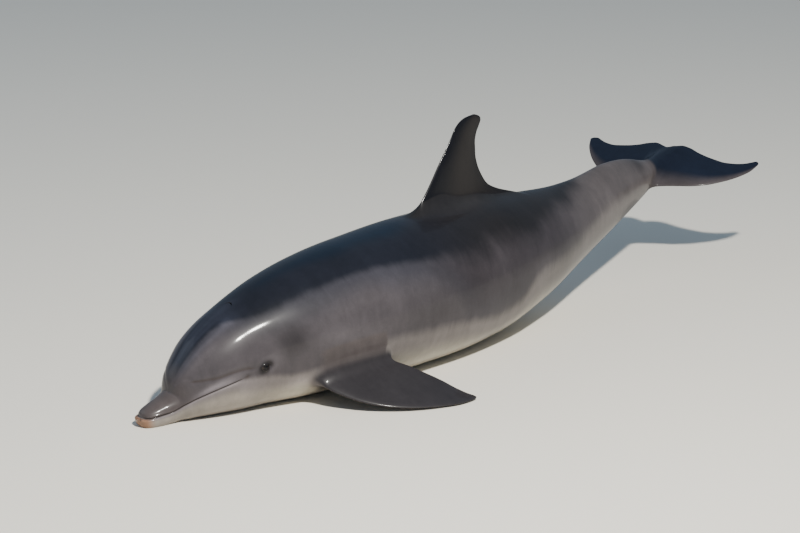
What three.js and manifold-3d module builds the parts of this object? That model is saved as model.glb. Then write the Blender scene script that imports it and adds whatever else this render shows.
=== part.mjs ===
import * as THREE from "three";
import Module from "manifold-3d";

// Bottlenose dolphin resting on its belly. Millimetres and degrees, +Z up, head toward -X, left side -Y.
// The animal is drawn straight along its spine (station, side, height) and then laid along a bent spine.

// gap left between neighbouring pieces
const seam = 0.3;

// bend of the spine: angle and the stations it eases between
const headDip = { angle: 12.3, from: 350, to: 850 };
const headTurn = { angle: -9, from: 300, to: 900 };
const tailLift = { angle: 5.9, from: 860, to: 2320 };
const flukeLift = { angle: 8, from: 2250, to: 2400 };
const tailTurn = { angle: 11.5, from: 940, to: 2300 };
const tailRoll = { angle: -6.3, from: 900, to: 2400 };
const spineStep = 10;
const spineEnd = 2600;
// the origin lies on the ground under this station, and the spine passes this high over it
const originStation = 900;
const spineHeight = 220;

// girth of head and body: station, top, bottom, half width
const body = [
  [110, -42, -121, 16], [114, -35, -122, 30], [117, -26, -122, 40], [122, -12, -123, 50],
  [129, 1, -124, 59], [138, 14, -126, 67], [150, 27, -128, 75], [165, 40, -131, 84],
  [190, 60, -137, 97], [220, 81, -144, 110], [260, 100, -154, 124], [300, 115, -164, 133],
  [350, 129, -174, 142], [420, 144, -188, 160], [500, 157, -203, 181], [640, 172, -218, 206],
  [800, 184, -226, 222], [1050, 196, -227, 226], [1300, 192, -219, 206], [1550, 163, -187, 162],
  [1800, 126, -143, 108], [1930, 116, -121, 85], [2040, 114, -104, 69], [2110, 106, -93, 60],
  [2180, 92, -82, 52], [2244, 73, -72, 45], [2300, 52, -61, 41], [2350, 34, -50, 37],
  [2400, 22, -34, 33], [2450, 16, -16, 29], [2490, 13, 0, 25], [2500, 12, 7, 18],
];
const forkEnd = 2495;
// upper and lower jaw: station, top, bottom, half width
const jaw = [
  [0, -70, -80, 6], [3, -63, -91, 18], [8, -56, -99, 27], [20, -50, -108, 34], [40, -46.5, -114, 39],
  [60, -43.5, -117, 42], [85, -40.5, -120, 46], [114, -35, -122, 54], [130, -25, -124, 65],
  [150, -15, -128, 77], [200, -4, -139, 101], [260, 0, -154, 121], [300, 2, -164, 130],
  [360, 4, -176, 140],
];
const jawEnd = 360;
// station and height of the mouth line; the lower jaw reaches a little further forward
const mouthLine = [
  [0, -70], [20, -71], [50, -72], [85, -74], [105, -71], [128, -62], [150, -54], [200, -43],
  [268, -34], [300, -31],
];
const mouthEnd = 300;
const lowerJawReach = { length: 12, fade: 100 };
// station and height of the widest level
const axisLevel = [
  [0, -78], [60, -79], [114, -72], [160, -46], [220, -31], [300, -23], [500, -21], [800, -19],
  [1050, -13], [1550, -10], [2000, 0], [2300, -2], [2400, -1], [2450, 3], [2500, 9.5],
];
// roundness of the upper and lower half of each section: 2 is an ellipse, less is keeled, more is flat
const roundness = [
  [0, 2.2, 2.3], [300, 2.05, 2.15], [550, 2, 2.3], [1150, 2, 2.3], [1500, 1.9, 2.05],
  [1900, 1.7, 1.75], [2300, 1.6, 1.7], [2420, 1.8, 1.9], [2500, 2, 2],
];
// the forehead runs into the jaws over a soft crease
const creaseBlend = { width: 5, fill: 0.25 };

// where one length of the body ends and the next begins
const beakEnd = 114;
const headEnd = 415;
const chestEnd = 1000;
const trunkEnd = 1520;
const stockMiddle = 1950;

// dorsal fin, from the root up: leading station and height, trailing station and height, half thickness
const dorsalFin = [
  [1024, 150, 1600, 150, 27], [1042, 176, 1530, 176, 23], [1056, 190, 1490, 190, 21],
  [1068, 205, 1450, 206, 19.5], [1091, 227, 1411, 228, 18], [1122, 260, 1384, 262, 16],
  [1150, 294, 1366, 296, 14.5], [1177, 328, 1358, 330, 13], [1207, 362, 1358, 364, 11],
  [1237, 396, 1366, 392, 9], [1262, 427, 1381, 412, 7], [1293, 445, 1392, 430, 5],
  [1330, 453, 1383, 446, 3],
];
// fluke outline: distance from the midline, leading station, trailing station, half thickness
const fluke = [
  [4, 2285, 2496, 19], [14, 2291, 2503, 18.5], [26, 2297, 2511, 18], [48, 2306, 2516, 17],
  [75, 2317, 2512, 16], [110, 2330, 2500, 14], [150, 2346, 2493, 12], [190, 2370, 2491, 10],
  [225, 2401, 2499, 8], [255, 2434, 2514, 6], [278, 2468, 2532, 4.5], [290, 2491, 2541, 3.4],
  [298, 2515, 2544, 2.2],
];
const flukeSpan = 300;
const flukePitch = 12.2;
const flukeMiddle = 2400;
const flukeDrop = -12;
// each blade sags toward its tip, twists, and ends a little shorter or longer than the outline
const leftBlade = { tipSag: -78, sagPower: 1.4, twist: -2.3, tipTrim: -4 };
const rightBlade = { tipSag: 8, sagPower: 2, twist: 6.4, tipTrim: 16 };
const tipTrimFrom = 262;
const tipTrimOver = 34;

// flipper edges above the ground, from the root out: leading x y z, trailing x y z, half thickness
const flipper = [
  [-386, 70, 100, -196, 78, 126, 19], [-384, 150, 68, -172, 165, 108, 18],
  [-346, 238, 36, -128, 222, 88, 15], [-290, 306, 19, -95, 268, 66, 12.5],
  [-222, 360, 11, -66, 312, 44, 9.5], [-155, 394, 8, -47, 350, 25, 7],
  [-94, 413, 6, -32, 382, 13, 5], [-42, 416, 5, -18, 403, 7, 2.6],
];
const leftFlipperShift = { x: -14, y: -22 };
const rightFlipperShift = { x: -20, y: 34 };
// direction a flipper grows in; its blade lies square to this and to its chord
const flipperHeading = { back: 0.6, out: 0.8, rise: -0.2 };

// eye ball, where its centre sits under the skin, and its rings
const eye = { radius: 15, station: 353, height: -23, depth: 10.5, rings: 8, sides: 14, poleLean: 4 };

// blowhole: a crescent on the crown with its horns toward the snout
const blowhole = { station: 362, width: 27, bow: 7, gape: 5, depth: 6, above: 8, steps: 6 };

// foil section of the fins: fullness, how fast it thins, and the thickness left at the trailing edge
const foil = { fullness: 1.804, thinning: 1.05, tail: 0.08, least: 0.06, leastHalf: 0.5 };

// facets: rows round half a section, the row that follows the mouth, steps along a fin's chord,
// and the distance between rings along each part of the body
const halfRows = 15;
const mouthRow = 8;
const mouthRowFade = 350;
const finRows = 10;
const bodyStep = 52;
const tailStep = 46;
const headStep = 30;
const jawStep = 26;

const colours = { flank: 0x6f6a6c, jaw: 0x9a8d88, fin: 0x2c2d33, eye: 0x120f0e };

const radians = (angle) => (angle * Math.PI) / 180;
const ease = (t) => {
  const k = Math.min(1, Math.max(0, t));
  return k * k * (3 - 2 * k);
};

// smooth curve through a table of [place, value, ...] rows that never overshoots a value
function curve(table, column = 1) {
  const x = table.map((row) => row[0]);
  const y = table.map((row) => row[column]);
  const slope = x.slice(1).map((next, i) => (y[i + 1] - y[i]) / (next - x[i]));
  const tangent = y.map((_, i) => {
    if (i === 0) return slope[0];
    if (i === y.length - 1) return slope[i - 1];
    if (slope[i - 1] * slope[i] <= 0) return 0;
    return (2 * slope[i - 1] * slope[i]) / (slope[i - 1] + slope[i]);
  });
  return (place) => {
    if (place <= x[0]) return y[0];
    if (place >= x[x.length - 1]) return y[y.length - 1];
    const i = x.findIndex((next) => next > place) - 1;
    const width = x[i + 1] - x[i];
    const t = (place - x[i]) / width;
    const rise = t * t * (3 - 2 * t);
    const start = t * (1 - t) * (1 - t);
    const finish = t * t * (t - 1);
    return y[i] + (y[i + 1] - y[i]) * rise + width * (tangent[i] * start + tangent[i + 1] * finish);
  };
}

const bodyTop = curve(body, 1);
const bodyBottom = curve(body, 2);
const bodyWidth = curve(body, 3);
const jawTop = curve(jaw, 1);
const jawBottom = curve(jaw, 2);
const jawWidth = curve(jaw, 3);
const mouthHeight = curve(mouthLine);
const axisHeight = curve(axisLevel);
const roundTop = curve(roundness, 1);
const roundBottom = curve(roundness, 2);

// distance from the section's centre to an oval, at an angle from straight up
function ovalReach(angle, width, up, down, powerUp, powerDown) {
  const height = Math.cos(angle) >= 0 ? up : down;
  const power = Math.cos(angle) >= 0 ? powerUp : powerDown;
  const side = Math.abs(Math.sin(angle) / width) ** power;
  return (side + Math.abs(Math.cos(angle) / height) ** power) ** (-1 / power);
}

// reach of the skin: the jaws and the rounded forehead and body, blended where they cross
function reach(station, angle) {
  const level = axisHeight(station);
  const powers = [roundTop(station), roundBottom(station)];
  let jaws = 0;
  if (station < jawEnd) {
    const sizes = [jawWidth(station), jawTop(station) - level, level - jawBottom(station)];
    jaws = ovalReach(angle, ...sizes, ...powers);
  }
  if (station <= body[0][0]) return jaws;
  const sizes = [bodyWidth(station), bodyTop(station) - level, level - bodyBottom(station)];
  const trunk = ovalReach(angle, ...sizes, ...powers);
  const overlap = Math.max(creaseBlend.width - Math.abs(trunk - jaws), 0) / creaseBlend.width;
  return Math.max(trunk, jaws) + overlap * overlap * creaseBlend.width * creaseBlend.fill;
}

// angle at which a section reaches a given height
function angleAt(station, height) {
  let low = 0;
  let high = Math.PI;
  for (let i = 0; i < 40; i += 1) {
    const middle = (low + high) / 2;
    const z = axisHeight(station) + reach(station, middle) * Math.cos(middle);
    if (z > height) low = middle;
    else high = middle;
  }
  return (low + high) / 2;
}

// spine laid out point by point, each with its sideways and upward direction
function layOut() {
  const points = [];
  let place = new THREE.Vector3();
  const turnAt = (bend, s) => radians(bend.angle) * ease((s - bend.from) / (bend.to - bend.from));
  const fadeAt = (bend, s) => radians(bend.angle) * (1 - ease((s - bend.from) / (bend.to - bend.from)));
  for (let s = 0; s <= spineEnd; s += spineStep) {
    const lift = turnAt(tailLift, s) + turnAt(flukeLift, s) + fadeAt(headDip, s);
    const turn = turnAt(tailTurn, s) + fadeAt(headTurn, s);
    const roll = turnAt(tailRoll, s);
    const heading = new THREE.Vector3(Math.cos(turn), Math.sin(turn), 0);
    const along = heading.multiplyScalar(Math.cos(lift)).setZ(Math.sin(lift));
    const level = new THREE.Vector3(-Math.sin(turn), Math.cos(turn), 0);
    const upright = along.clone().cross(level);
    const side = level.clone().multiplyScalar(Math.cos(roll)).addScaledVector(upright, Math.sin(roll));
    const up = upright.clone().multiplyScalar(Math.cos(roll)).addScaledVector(level, -Math.sin(roll));
    if (points.length) {
      const last = points[points.length - 1];
      place = last.place.clone().addScaledVector(last.along, spineStep / 2);
      place.addScaledVector(along, spineStep / 2);
    }
    points.push({ place, along, side, up });
  }
  const shift = points[originStation / spineStep].place.clone().sub(new THREE.Vector3(0, 0, spineHeight));
  points.forEach((point) => { point.place = point.place.clone().sub(shift); });
  return points;
}
const spine = layOut();

// carries a point of the straight animal onto the bent spine
function bend(station, side, height) {
  const s = Math.min(Math.max(station, 0), spineEnd - 1e-6);
  const i = Math.floor(s / spineStep);
  const t = s / spineStep - i;
  const mix = (key) => spine[i][key].clone().lerp(spine[i + 1][key], t);
  const point = mix("place").addScaledVector(mix("side"), side).addScaledVector(mix("up"), height);
  return point.addScaledVector(mix("along"), station - s);
}

// closed mesh from a run of rings, capped at both ends, welded, facing outward
function loft(rings) {
  const count = rings[0].length;
  const points = rings.flat();
  const faces = [];
  for (let i = 0; i + 1 < rings.length; i += 1) {
    for (let j = 0; j < count; j += 1) {
      const a = i * count + j;
      const b = i * count + ((j + 1) % count);
      if (a % 2 === 0) faces.push([a, b, b + count], [a, b + count, a + count]);
      else faces.push([a, b, a + count], [b, b + count, a + count]);
    }
  }
  [rings[0], rings[rings.length - 1]].forEach((ring, end) => {
    const centre = ring.reduce((sum, p) => sum.add(p), new THREE.Vector3()).divideScalar(count);
    const base = end * (rings.length - 1) * count;
    points.push(centre);
    const hub = points.length - 1;
    for (let j = 0; j < count; j += 1) {
      const edge = [base + j, base + ((j + 1) % count)];
      faces.push(end ? [edge[0], edge[1], hub] : [edge[1], edge[0], hub]);
    }
  });
  return weld(points, faces);
}

function weld(points, faces) {
  const index = new Map();
  const kept = [];
  const renamed = points.map((p) => {
    const key = `${p.x.toFixed(4)},${p.y.toFixed(4)},${p.z.toFixed(4)}`;
    if (!index.has(key)) {
      index.set(key, kept.length);
      kept.push(p);
    }
    return index.get(key);
  });
  let triangles = faces.map((face) => face.map((i) => renamed[i]));
  triangles = triangles.filter(([a, b, c]) => a !== b && b !== c && c !== a);
  const volume = triangles.reduce((sum, [a, b, c]) => sum + kept[a].dot(kept[b].clone().cross(kept[c])), 0);
  if (volume < 0) triangles = triangles.map(([a, b, c]) => [a, c, b]);
  return { points: kept, triangles };
}

const wasm = await Module();
wasm.setup();

function solid(shape) {
  const vertProperties = new Float32Array(shape.points.flatMap((p) => [p.x, p.y, p.z]));
  const triVerts = new Uint32Array(shape.triangles.flat());
  return new wasm.Manifold(new wasm.Mesh({ numProp: 3, vertProperties, triVerts }));
}

function makeMesh(name, body3d, colour) {
  const { vertProperties, triVerts, numProp } = body3d.getMesh();
  const geometry = new THREE.BufferGeometry();
  const positions = new Float32Array((vertProperties.length / numProp) * 3);
  for (let i = 0; i < positions.length / 3; i += 1) {
    for (let k = 0; k < 3; k += 1) positions[3 * i + k] = vertProperties[numProp * i + k];
  }
  geometry.setAttribute("position", new THREE.BufferAttribute(positions, 3));
  geometry.setIndex(new THREE.BufferAttribute(new Uint32Array(triVerts), 1));
  geometry.computeVertexNormals();
  const material = new THREE.MeshStandardMaterial({ color: colour, roughness: 0.3, metalness: 0 });
  const mesh = new THREE.Mesh(geometry, material);
  mesh.name = name;
  return mesh;
}

const settle = (point) => point.setZ(Math.max(point.z, 0));

// angles of the rows of half a section, one of them always on the mouth line
function rowAngles(station) {
  const even = (Math.PI * mouthRow) / halfRows;
  const known = angleAt(Math.min(station, mouthEnd), mouthHeight(station));
  const fade = ease((station - mouthEnd) / mouthRowFade);
  const mouth = known + (even - known) * fade;
  const angles = [];
  for (let i = 0; i <= halfRows; i += 1) {
    if (i <= mouthRow) angles.push((mouth * i) / mouthRow);
    else angles.push(mouth + ((Math.PI - mouth) * (i - mouthRow)) / (halfRows - mouthRow));
  }
  return angles;
}

// one ring of skin; the part kept is the whole section, or what lies above or below the mouth
function skinRing(station, part = "whole", grow = 0) {
  const half = rowAngles(station);
  const ring = [];
  const rows = half.map((angle, i) => [angle, i]);
  const round = [...rows, ...rows.slice(1, -1).reverse().map(([angle, i]) => [-angle, i])];
  const lip = mouthHeight(station) + (part === "above" ? seam / 2 : -seam / 2);
  const edge = angleAt(station, lip);
  const edgeSide = reach(station, edge) * Math.sin(edge);
  const setBack = part === "above" ? lowerJawReach.length * (1 - ease(station / lowerJawReach.fade)) : 0;
  round.forEach(([angle, i]) => {
    const sign = Math.sign(angle) || 1;
    const span = reach(station, Math.abs(angle)) + grow;
    let side = span * Math.sin(angle);
    let height = axisHeight(station) + span * Math.cos(angle);
    if (part === "above" && i >= mouthRow) {
      height = lip;
      side = sign * edgeSide * (1 - (i - mouthRow) / (halfRows - mouthRow));
    }
    if (part === "below" && i <= mouthRow) {
      height = lip;
      side = sign * edgeSide * (i / mouthRow);
    }
    ring.push(settle(bend(station + setBack, side, height)));
  });
  return ring;
}

function stations(from, to, step) {
  const count = Math.max(1, Math.round((to - from) / step));
  return Array.from({ length: count + 1 }, (_, i) => from + ((to - from) * i) / count);
}

// a length of the body; a grown one is a cutter that leaves the seam all round the same facets
function skinLength(from, to, step, grow = 0) {
  const places = stations(from + seam / 2, to - seam / 2, step);
  const rings = places.map((s) => skinRing(s, "whole", grow));
  if (grow) {
    rings.unshift(skinRing(places[0] - grow, "whole", grow));
    rings.push(skinRing(places[places.length - 1] + grow, "whole", grow));
  }
  return solid(loft(rings));
}

const beakStations = [0.6, 3, 8, 16, 28, 46, 66, 88, beakEnd - seam / 2];

function makeUpperJaw() {
  return solid(loft(beakStations.map((s) => skinRing(s, "above"))));
}

function makeLowerJaw() {
  const rest = stations(beakEnd + jawStep / 2, mouthEnd - seam / 2, jawStep);
  return solid(loft([...beakStations, ...rest].map((s) => skinRing(s, "below"))));
}

const foreheadStations = [
  beakEnd + seam / 2, 117, 121, 127, 134, 144, 157, 176, 200, 230, 264, mouthEnd + seam / 2,
];

function makeHead() {
  const front = foreheadStations.map((s) => skinRing(s, "above"));
  const rear = stations(mouthEnd + seam / 2, headEnd - seam / 2, headStep).map((s) => skinRing(s));
  let head = solid(loft([...front, ...rear]));
  [-1, 1].forEach((side) => { head = head.subtract(ball(side, eye.radius + seam)); });
  return head.subtract(makeBlowholeCutter());
}

// crescent plug that opens the blowhole in the crown
function makeBlowholeCutter() {
  const top = bodyTop(blowhole.station);
  const { steps } = blowhole;
  const rings = [-blowhole.depth, blowhole.above].map((rise) => {
    const ring = [];
    for (let i = 0; i < 2 * steps; i += 1) {
      const share = i <= steps ? i / steps : (2 * steps - i) / steps;
      const side = blowhole.width * (share - 0.5);
      const bow = blowhole.bow * (1 - (2 * share - 1) ** 2);
      const lip = i <= steps ? 0 : blowhole.gape * Math.sin(Math.PI * share);
      ring.push(bend(blowhole.station + bow - lip, side, top + rise));
    }
    return ring;
  });
  return solid(loft(rings));
}

// eye ball as stacked rings about the line that points out of the socket
function ball(side, radius) {
  const angle = angleAt(eye.station, eye.height);
  const span = reach(eye.station, angle) - eye.depth;
  const height = axisHeight(eye.station) + span * Math.cos(angle);
  const centre = bend(eye.station, side * span * Math.sin(angle), height);
  const further = bend(eye.station, side * (span * Math.sin(angle) + radius), height);
  const outward = further.sub(centre).normalize();
  const forward = new THREE.Vector3(0, 0, 1).cross(outward).normalize();
  const up = outward.clone().cross(forward);
  const rings = [];
  for (let i = 0; i <= eye.rings; i += 1) {
    const lean = radians(eye.poleLean + ((180 - 2 * eye.poleLean) * i) / eye.rings);
    const ring = [];
    for (let j = 0; j < eye.sides; j += 1) {
      const round = (2 * Math.PI * j) / eye.sides;
      const point = centre.clone().addScaledVector(outward, radius * Math.cos(lean));
      point.addScaledVector(forward, radius * Math.sin(lean) * Math.cos(round));
      ring.push(point.addScaledVector(up, radius * Math.sin(lean) * Math.sin(round)));
    }
    rings.push(ring);
  }
  return solid(loft(rings));
}

// outline of a foil: share along the chord from the leading edge, and share of the half thickness
function foilPoint(step) {
  const chord = (1 - Math.cos((Math.PI * step) / finRows)) / 2;
  const thick = foil.fullness * Math.sqrt(chord) * (1 - chord) ** foil.thinning + foil.tail * chord;
  return [chord, step === 0 ? 0 : Math.max(thick, foil.least)];
}

function foilRing(leading, trailing, normal, halfThickness) {
  const ring = [];
  const add = (step, side) => {
    const [chord, thick] = foilPoint(step);
    const half = step === 0 ? 0 : Math.max(thick * halfThickness, foil.leastHalf);
    ring.push(leading.clone().lerp(trailing, chord).addScaledVector(normal, side * half));
  };
  for (let i = 0; i <= finRows; i += 1) add(i, 1);
  for (let i = finRows; i > 0; i -= 1) add(i, -1);
  return ring;
}

function makeDorsalFin() {
  const rings = dorsalFin.map(([front, frontHeight, back, backHeight, half]) => {
    const lead = new THREE.Vector3(front, 0, frontHeight);
    const trail = new THREE.Vector3(back, 0, backHeight);
    const ring = foilRing(lead, trail, new THREE.Vector3(0, 1, 0), half);
    return ring.map((p) => bend(p.x, p.y, p.z));
  });
  const fin = solid(loft(rings)).subtract(skinLength(chestEnd, trunkEnd, bodyStep, seam));
  return fin.subtract(skinLength(trunkEnd, stockMiddle, tailStep, seam));
}

function bladeHeight(blade, station, out) {
  const share = out / flukeSpan;
  const pitch = Math.tan(radians(flukePitch));
  const middle = (curve(fluke, 1)(out) + curve(fluke, 2)(out)) / 2;
  const twist = (station - middle) * Math.tan(radians(blade.twist) * share);
  return flukeDrop + blade.tipSag * share ** blade.sagPower + twist + (station - flukeMiddle) * pitch;
}

function makeFluke(side, blade) {
  const rings = fluke.map(([out, front, fullBack, half]) => {
    const back = fullBack - blade.tipTrim * ease((out - tipTrimFrom) / tipTrimOver);
    const lead = new THREE.Vector3(front, side * out, bladeHeight(blade, front, out));
    const trail = new THREE.Vector3(back, side * out, bladeHeight(blade, back, out));
    const ring = foilRing(lead, trail, new THREE.Vector3(0, 0, 1), half);
    return ring.map((p) => bend(p.x, p.y, p.z));
  });
  return solid(loft(rings)).subtract(skinLength(stockMiddle, forkEnd, tailStep, seam));
}

function makeFlipper(side, shift) {
  const { back, out, rise } = flipperHeading;
  const rings = flipper.map(([leadX, leadY, leadZ, trailX, trailY, trailZ, half]) => {
    const lead = new THREE.Vector3(leadX + shift.x, side * leadY + shift.y, leadZ);
    const trail = new THREE.Vector3(trailX + shift.x, side * trailY + shift.y, trailZ);
    const chord = trail.clone().sub(lead);
    const normal = chord.cross(new THREE.Vector3(back, side * out, rise)).normalize();
    return foilRing(lead, trail, normal.multiplyScalar(Math.sign(normal.z)), half).map(settle);
  });
  return solid(loft(rings)).subtract(skinLength(headEnd, chestEnd, bodyStep, seam));
}

const dolphin = new THREE.Group();
dolphin.name = "bottlenose_dolphin";
const add = (name, piece, colour) => dolphin.add(makeMesh(name, piece, colour));
add("upper_jaw", makeUpperJaw(), colours.flank);
add("lower_jaw", makeLowerJaw(), colours.jaw);
add("head", makeHead(), colours.flank);
add("chest", skinLength(headEnd, chestEnd, bodyStep), colours.flank);
add("trunk", skinLength(chestEnd, trunkEnd, bodyStep), colours.flank);
add("tail_stock_front", skinLength(trunkEnd, stockMiddle, tailStep), colours.flank);
add("tail_stock_rear", skinLength(stockMiddle, forkEnd, tailStep), colours.flank);
add("dorsal_fin", makeDorsalFin(), colours.fin);
add("flipper_left", makeFlipper(-1, leftFlipperShift), colours.fin);
add("flipper_right", makeFlipper(1, rightFlipperShift), colours.fin);
add("fluke_left", makeFluke(-1, leftBlade), colours.fin);
add("fluke_right", makeFluke(1, rightBlade), colours.fin);
add("eye_left", ball(-1, eye.radius), colours.eye);
add("eye_right", ball(1, eye.radius), colours.eye);

export default dolphin;
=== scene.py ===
import math

import bmesh
import bpy
import numpy as np
from mathutils import Matrix, Vector


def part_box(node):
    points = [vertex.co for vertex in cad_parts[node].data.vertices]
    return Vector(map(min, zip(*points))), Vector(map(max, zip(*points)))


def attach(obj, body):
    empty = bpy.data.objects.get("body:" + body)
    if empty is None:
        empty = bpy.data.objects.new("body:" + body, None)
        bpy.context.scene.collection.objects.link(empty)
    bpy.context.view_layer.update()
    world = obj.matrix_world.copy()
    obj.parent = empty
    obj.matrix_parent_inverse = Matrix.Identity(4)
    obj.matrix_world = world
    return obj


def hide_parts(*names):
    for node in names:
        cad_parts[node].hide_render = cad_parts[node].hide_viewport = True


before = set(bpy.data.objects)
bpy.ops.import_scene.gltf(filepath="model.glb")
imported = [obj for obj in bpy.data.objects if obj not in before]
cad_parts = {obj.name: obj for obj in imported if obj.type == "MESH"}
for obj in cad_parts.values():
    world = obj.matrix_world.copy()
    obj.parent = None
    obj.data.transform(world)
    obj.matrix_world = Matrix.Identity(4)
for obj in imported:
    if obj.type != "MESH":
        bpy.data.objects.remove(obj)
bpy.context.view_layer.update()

# The animal is drawn straight, in millimetres: station back from the lower jaw's tip, side, height.
# It is then laid along a bent spine, head toward -X, left side -Y, belly on the ground.
metre = 0.001

spineBend = {
    "height": 220, "originStation": 900, "step": 2, "end": 2600,
    "headDip": (12.3, 350, 850), "headTurn": (-9, 300, 900),       # angle, fades out between these stations
    "tailLift": (5.9, 860, 2320), "flukeLift": (8, 2250, 2400),    # angle, comes in between these stations
    "tailTurn": (11.5, 940, 2300), "tailRoll": (-6.3, 900, 2400),
}

bodyForm = {
    "girth": [  # station, top, bottom, half width
        [110, -42, -121, 16], [114, -35, -122, 30], [117, -26, -122, 40], [122, -12, -123, 50],
        [129, 1, -124, 59], [138, 14, -126, 67], [150, 27, -128, 75], [165, 40, -131, 84],
        [190, 60, -137, 97], [220, 81, -144, 110], [260, 100, -154, 124], [300, 115, -164, 133],
        [350, 129, -174, 142], [420, 144, -188, 160], [500, 157, -203, 181], [640, 172, -218, 206],
        [800, 184, -226, 222], [1050, 196, -227, 226], [1300, 192, -219, 206], [1550, 163, -187, 162],
        [1800, 126, -143, 108], [1930, 116, -121, 85], [2040, 114, -104, 69], [2110, 106, -93, 60],
        [2180, 92, -82, 52], [2244, 73, -72, 45], [2300, 52, -61, 41], [2350, 34, -50, 37],
        [2400, 22, -34, 33], [2450, 16, -14, 29], [2490, 12, 3, 25], [2500, 11.5, 7, 19]],
    "jaws": [  # station, top, bottom, half width
        [0, -70, -80, 6], [3, -63, -91, 18], [8, -56, -99, 27], [20, -50, -108, 34], [40, -46.5, -114, 39],
        [60, -43.5, -117, 42], [85, -40.5, -120, 46], [114, -35, -122, 54], [130, -25, -124, 65],
        [150, -15, -128, 77], [200, -4, -139, 101], [260, 0, -154, 121], [300, 2, -164, 130],
        [360, 4, -176, 140]],
    "axis": [  # station, height of the widest level
        [0, -78], [60, -79], [114, -72], [160, -46], [220, -31], [300, -23], [500, -21], [800, -19],
        [1050, -13], [1550, -10], [2000, 0], [2300, -2], [2400, -1], [2450, 3], [2500, 9.5]],
    "roundness": [  # station, power of the upper half, power of the lower half
        [0, 2.2, 2.3], [300, 2.05, 2.15], [550, 2, 2.3], [1150, 2, 2.3], [1500, 1.9, 2.05],
        [1900, 1.7, 1.75], [2300, 1.6, 1.7], [2420, 1.8, 1.9], [2500, 2, 2]],
    "creaseBlend": 5, "jawsEnd": 360, "girthStart": 110, "end": 2500,
}

# the parted lips: spans are (where it starts, over what distance)
mouthForm = {
    "line": [[0, -70], [20, -71], [50, -72], [85, -74], [105, -71], [128, -62], [150, -54], [200, -43],
             [268, -34], [300, -31]],
    "end": 300, "settle": 350, "lowerReach": 12, "lowerFade": 100,
    "depth": 4.2, "mostOfReach": 0.3, "halfGap": 1.3, "opening": (0, 6), "closing": (254, 42),
    "lipSwell": 0.9, "lipSpread": 2.6, "lipAway": 4.5,
    "corner": {"depth": 2.2, "station": 296, "squash": 1.3, "size": 9},
    "edgeAngle": 0.004, "frontShade": 0.1, "shading": (4, 34),
}

grooveForm = {  # the fold over the upper lip, from the crease of the beak back to the eye
    "line": [[0, -62], [60, -60], [114, -44], [150, -4], [188, -6], [219, -8], [256, -5], [294, -7],
             [330, -17]],
    "end": 340, "coming": (140, 25), "going": (306, 30), "depth": 2.0, "halfGap": 5.5,
    "ridge": 0.5, "ridgeAway": 11, "ridgeSpread": 7, "shade": 0.35, "shadedDepth": 2.4,
}

# small folds
foldForm = {
    "beakRoot": {"depth": 1.8, "station": 114, "sweep": 46, "sweepAngle": 1.1, "width": 4,
                 "going": (0.8, 0.4), "end": 175},
    "slit": {"depth": 5, "halfWidth": 3.2, "coming": (1570, 15), "going": (1665, 20)},
    "navel": {"depth": 3, "station": 1290, "stretch": 1.6, "size": 6},
}

gridForm = {
    "halfRows": 90, "grooveRow": 44, "mouthRow": 55,
    "pinch": [-6.2, -3.2, -1.3, 0, 1.3, 3.2, 6.2],     # rows beside the mouth line, mm round the section
    "pinchRoom": 12,
    "spans": [  # stations, and the distance between rings there
        (0, 10, 1.7), (10, 106, 2.4), (106, 126, 1.5), (126, 165, 2.2), (165, 405, 3.2), (405, 540, 6.5),
        (540, 1040, 12.5), (1040, 1530, 10.5), (1530, 2230, 12.5), (2230, 2286, 8), (2286, 2495, 6.5)],
}


def ease(t):
    k = np.clip(t, 0, 1)
    return k * k * (3 - 2 * k)


# 0 before the start of a span of (start, distance), 1 past its end, smooth between
def coming(place, span):
    return ease((place - span[0]) / span[1])


def going(place, span):
    return 1 - coming(place, span)


def bump(distance, spread):
    return np.exp(-(distance / spread) ** 2)


def lengths(vectors):
    return np.linalg.norm(vectors, axis=-1, keepdims=True)


def unit(vectors):
    return vectors / lengths(vectors)


# smooth curve through the rows of a table that never overshoots a value
def curve(table, column=1):
    x = np.array([row[0] for row in table], float)
    y = np.array([row[column] for row in table], float)
    slope = np.diff(y) / np.diff(x)
    before, after = slope[:-1], slope[1:]
    total = np.where(before * after > 0, before + after, 1)
    inner = np.where(before * after > 0, 2 * before * after / total, 0)
    tangent = np.concatenate([slope[:1], inner, slope[-1:]])

    def at(place):
        p = np.clip(place, x[0], x[-1])
        i = np.clip(np.searchsorted(x, p, side="right") - 1, 0, len(x) - 2)
        width = x[i + 1] - x[i]
        t = (p - x[i]) / width
        rise = t * t * (3 - 2 * t)
        start = tangent[i] * t * (1 - t) ** 2
        finish = tangent[i + 1] * t * t * (t - 1)
        return y[i] + (y[i + 1] - y[i]) * rise + width * (start + finish)
    return at


bodyTop, bodyBottom, bodyWidth = [curve(bodyForm["girth"], k) for k in (1, 2, 3)]
jawTop, jawBottom, jawWidth = [curve(bodyForm["jaws"], k) for k in (1, 2, 3)]
roundTop, roundBottom = [curve(bodyForm["roundness"], k) for k in (1, 2)]
axisHeight = curve(bodyForm["axis"])

# the notch between the flukes: how much further back the skin ends at each distance from the middle
forkForm = {"lobe": [[0, 0], [4, 1], [14, 8], [26, 16], [48, 21], [80, 16]], "sweep": (2440, 52),
            "middleLift": 1.2}
forkLobe = curve(forkForm["lobe"])


def ovalReach(angle, width, up, down, powerUp, powerDown):
    upper = np.cos(angle) >= 0
    height = np.where(upper, up, down)
    power = np.where(upper, powerUp, powerDown)
    side = np.abs(np.sin(angle) / width) ** power
    return (side + np.abs(np.cos(angle) / height) ** power) ** (-1 / power)


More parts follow.
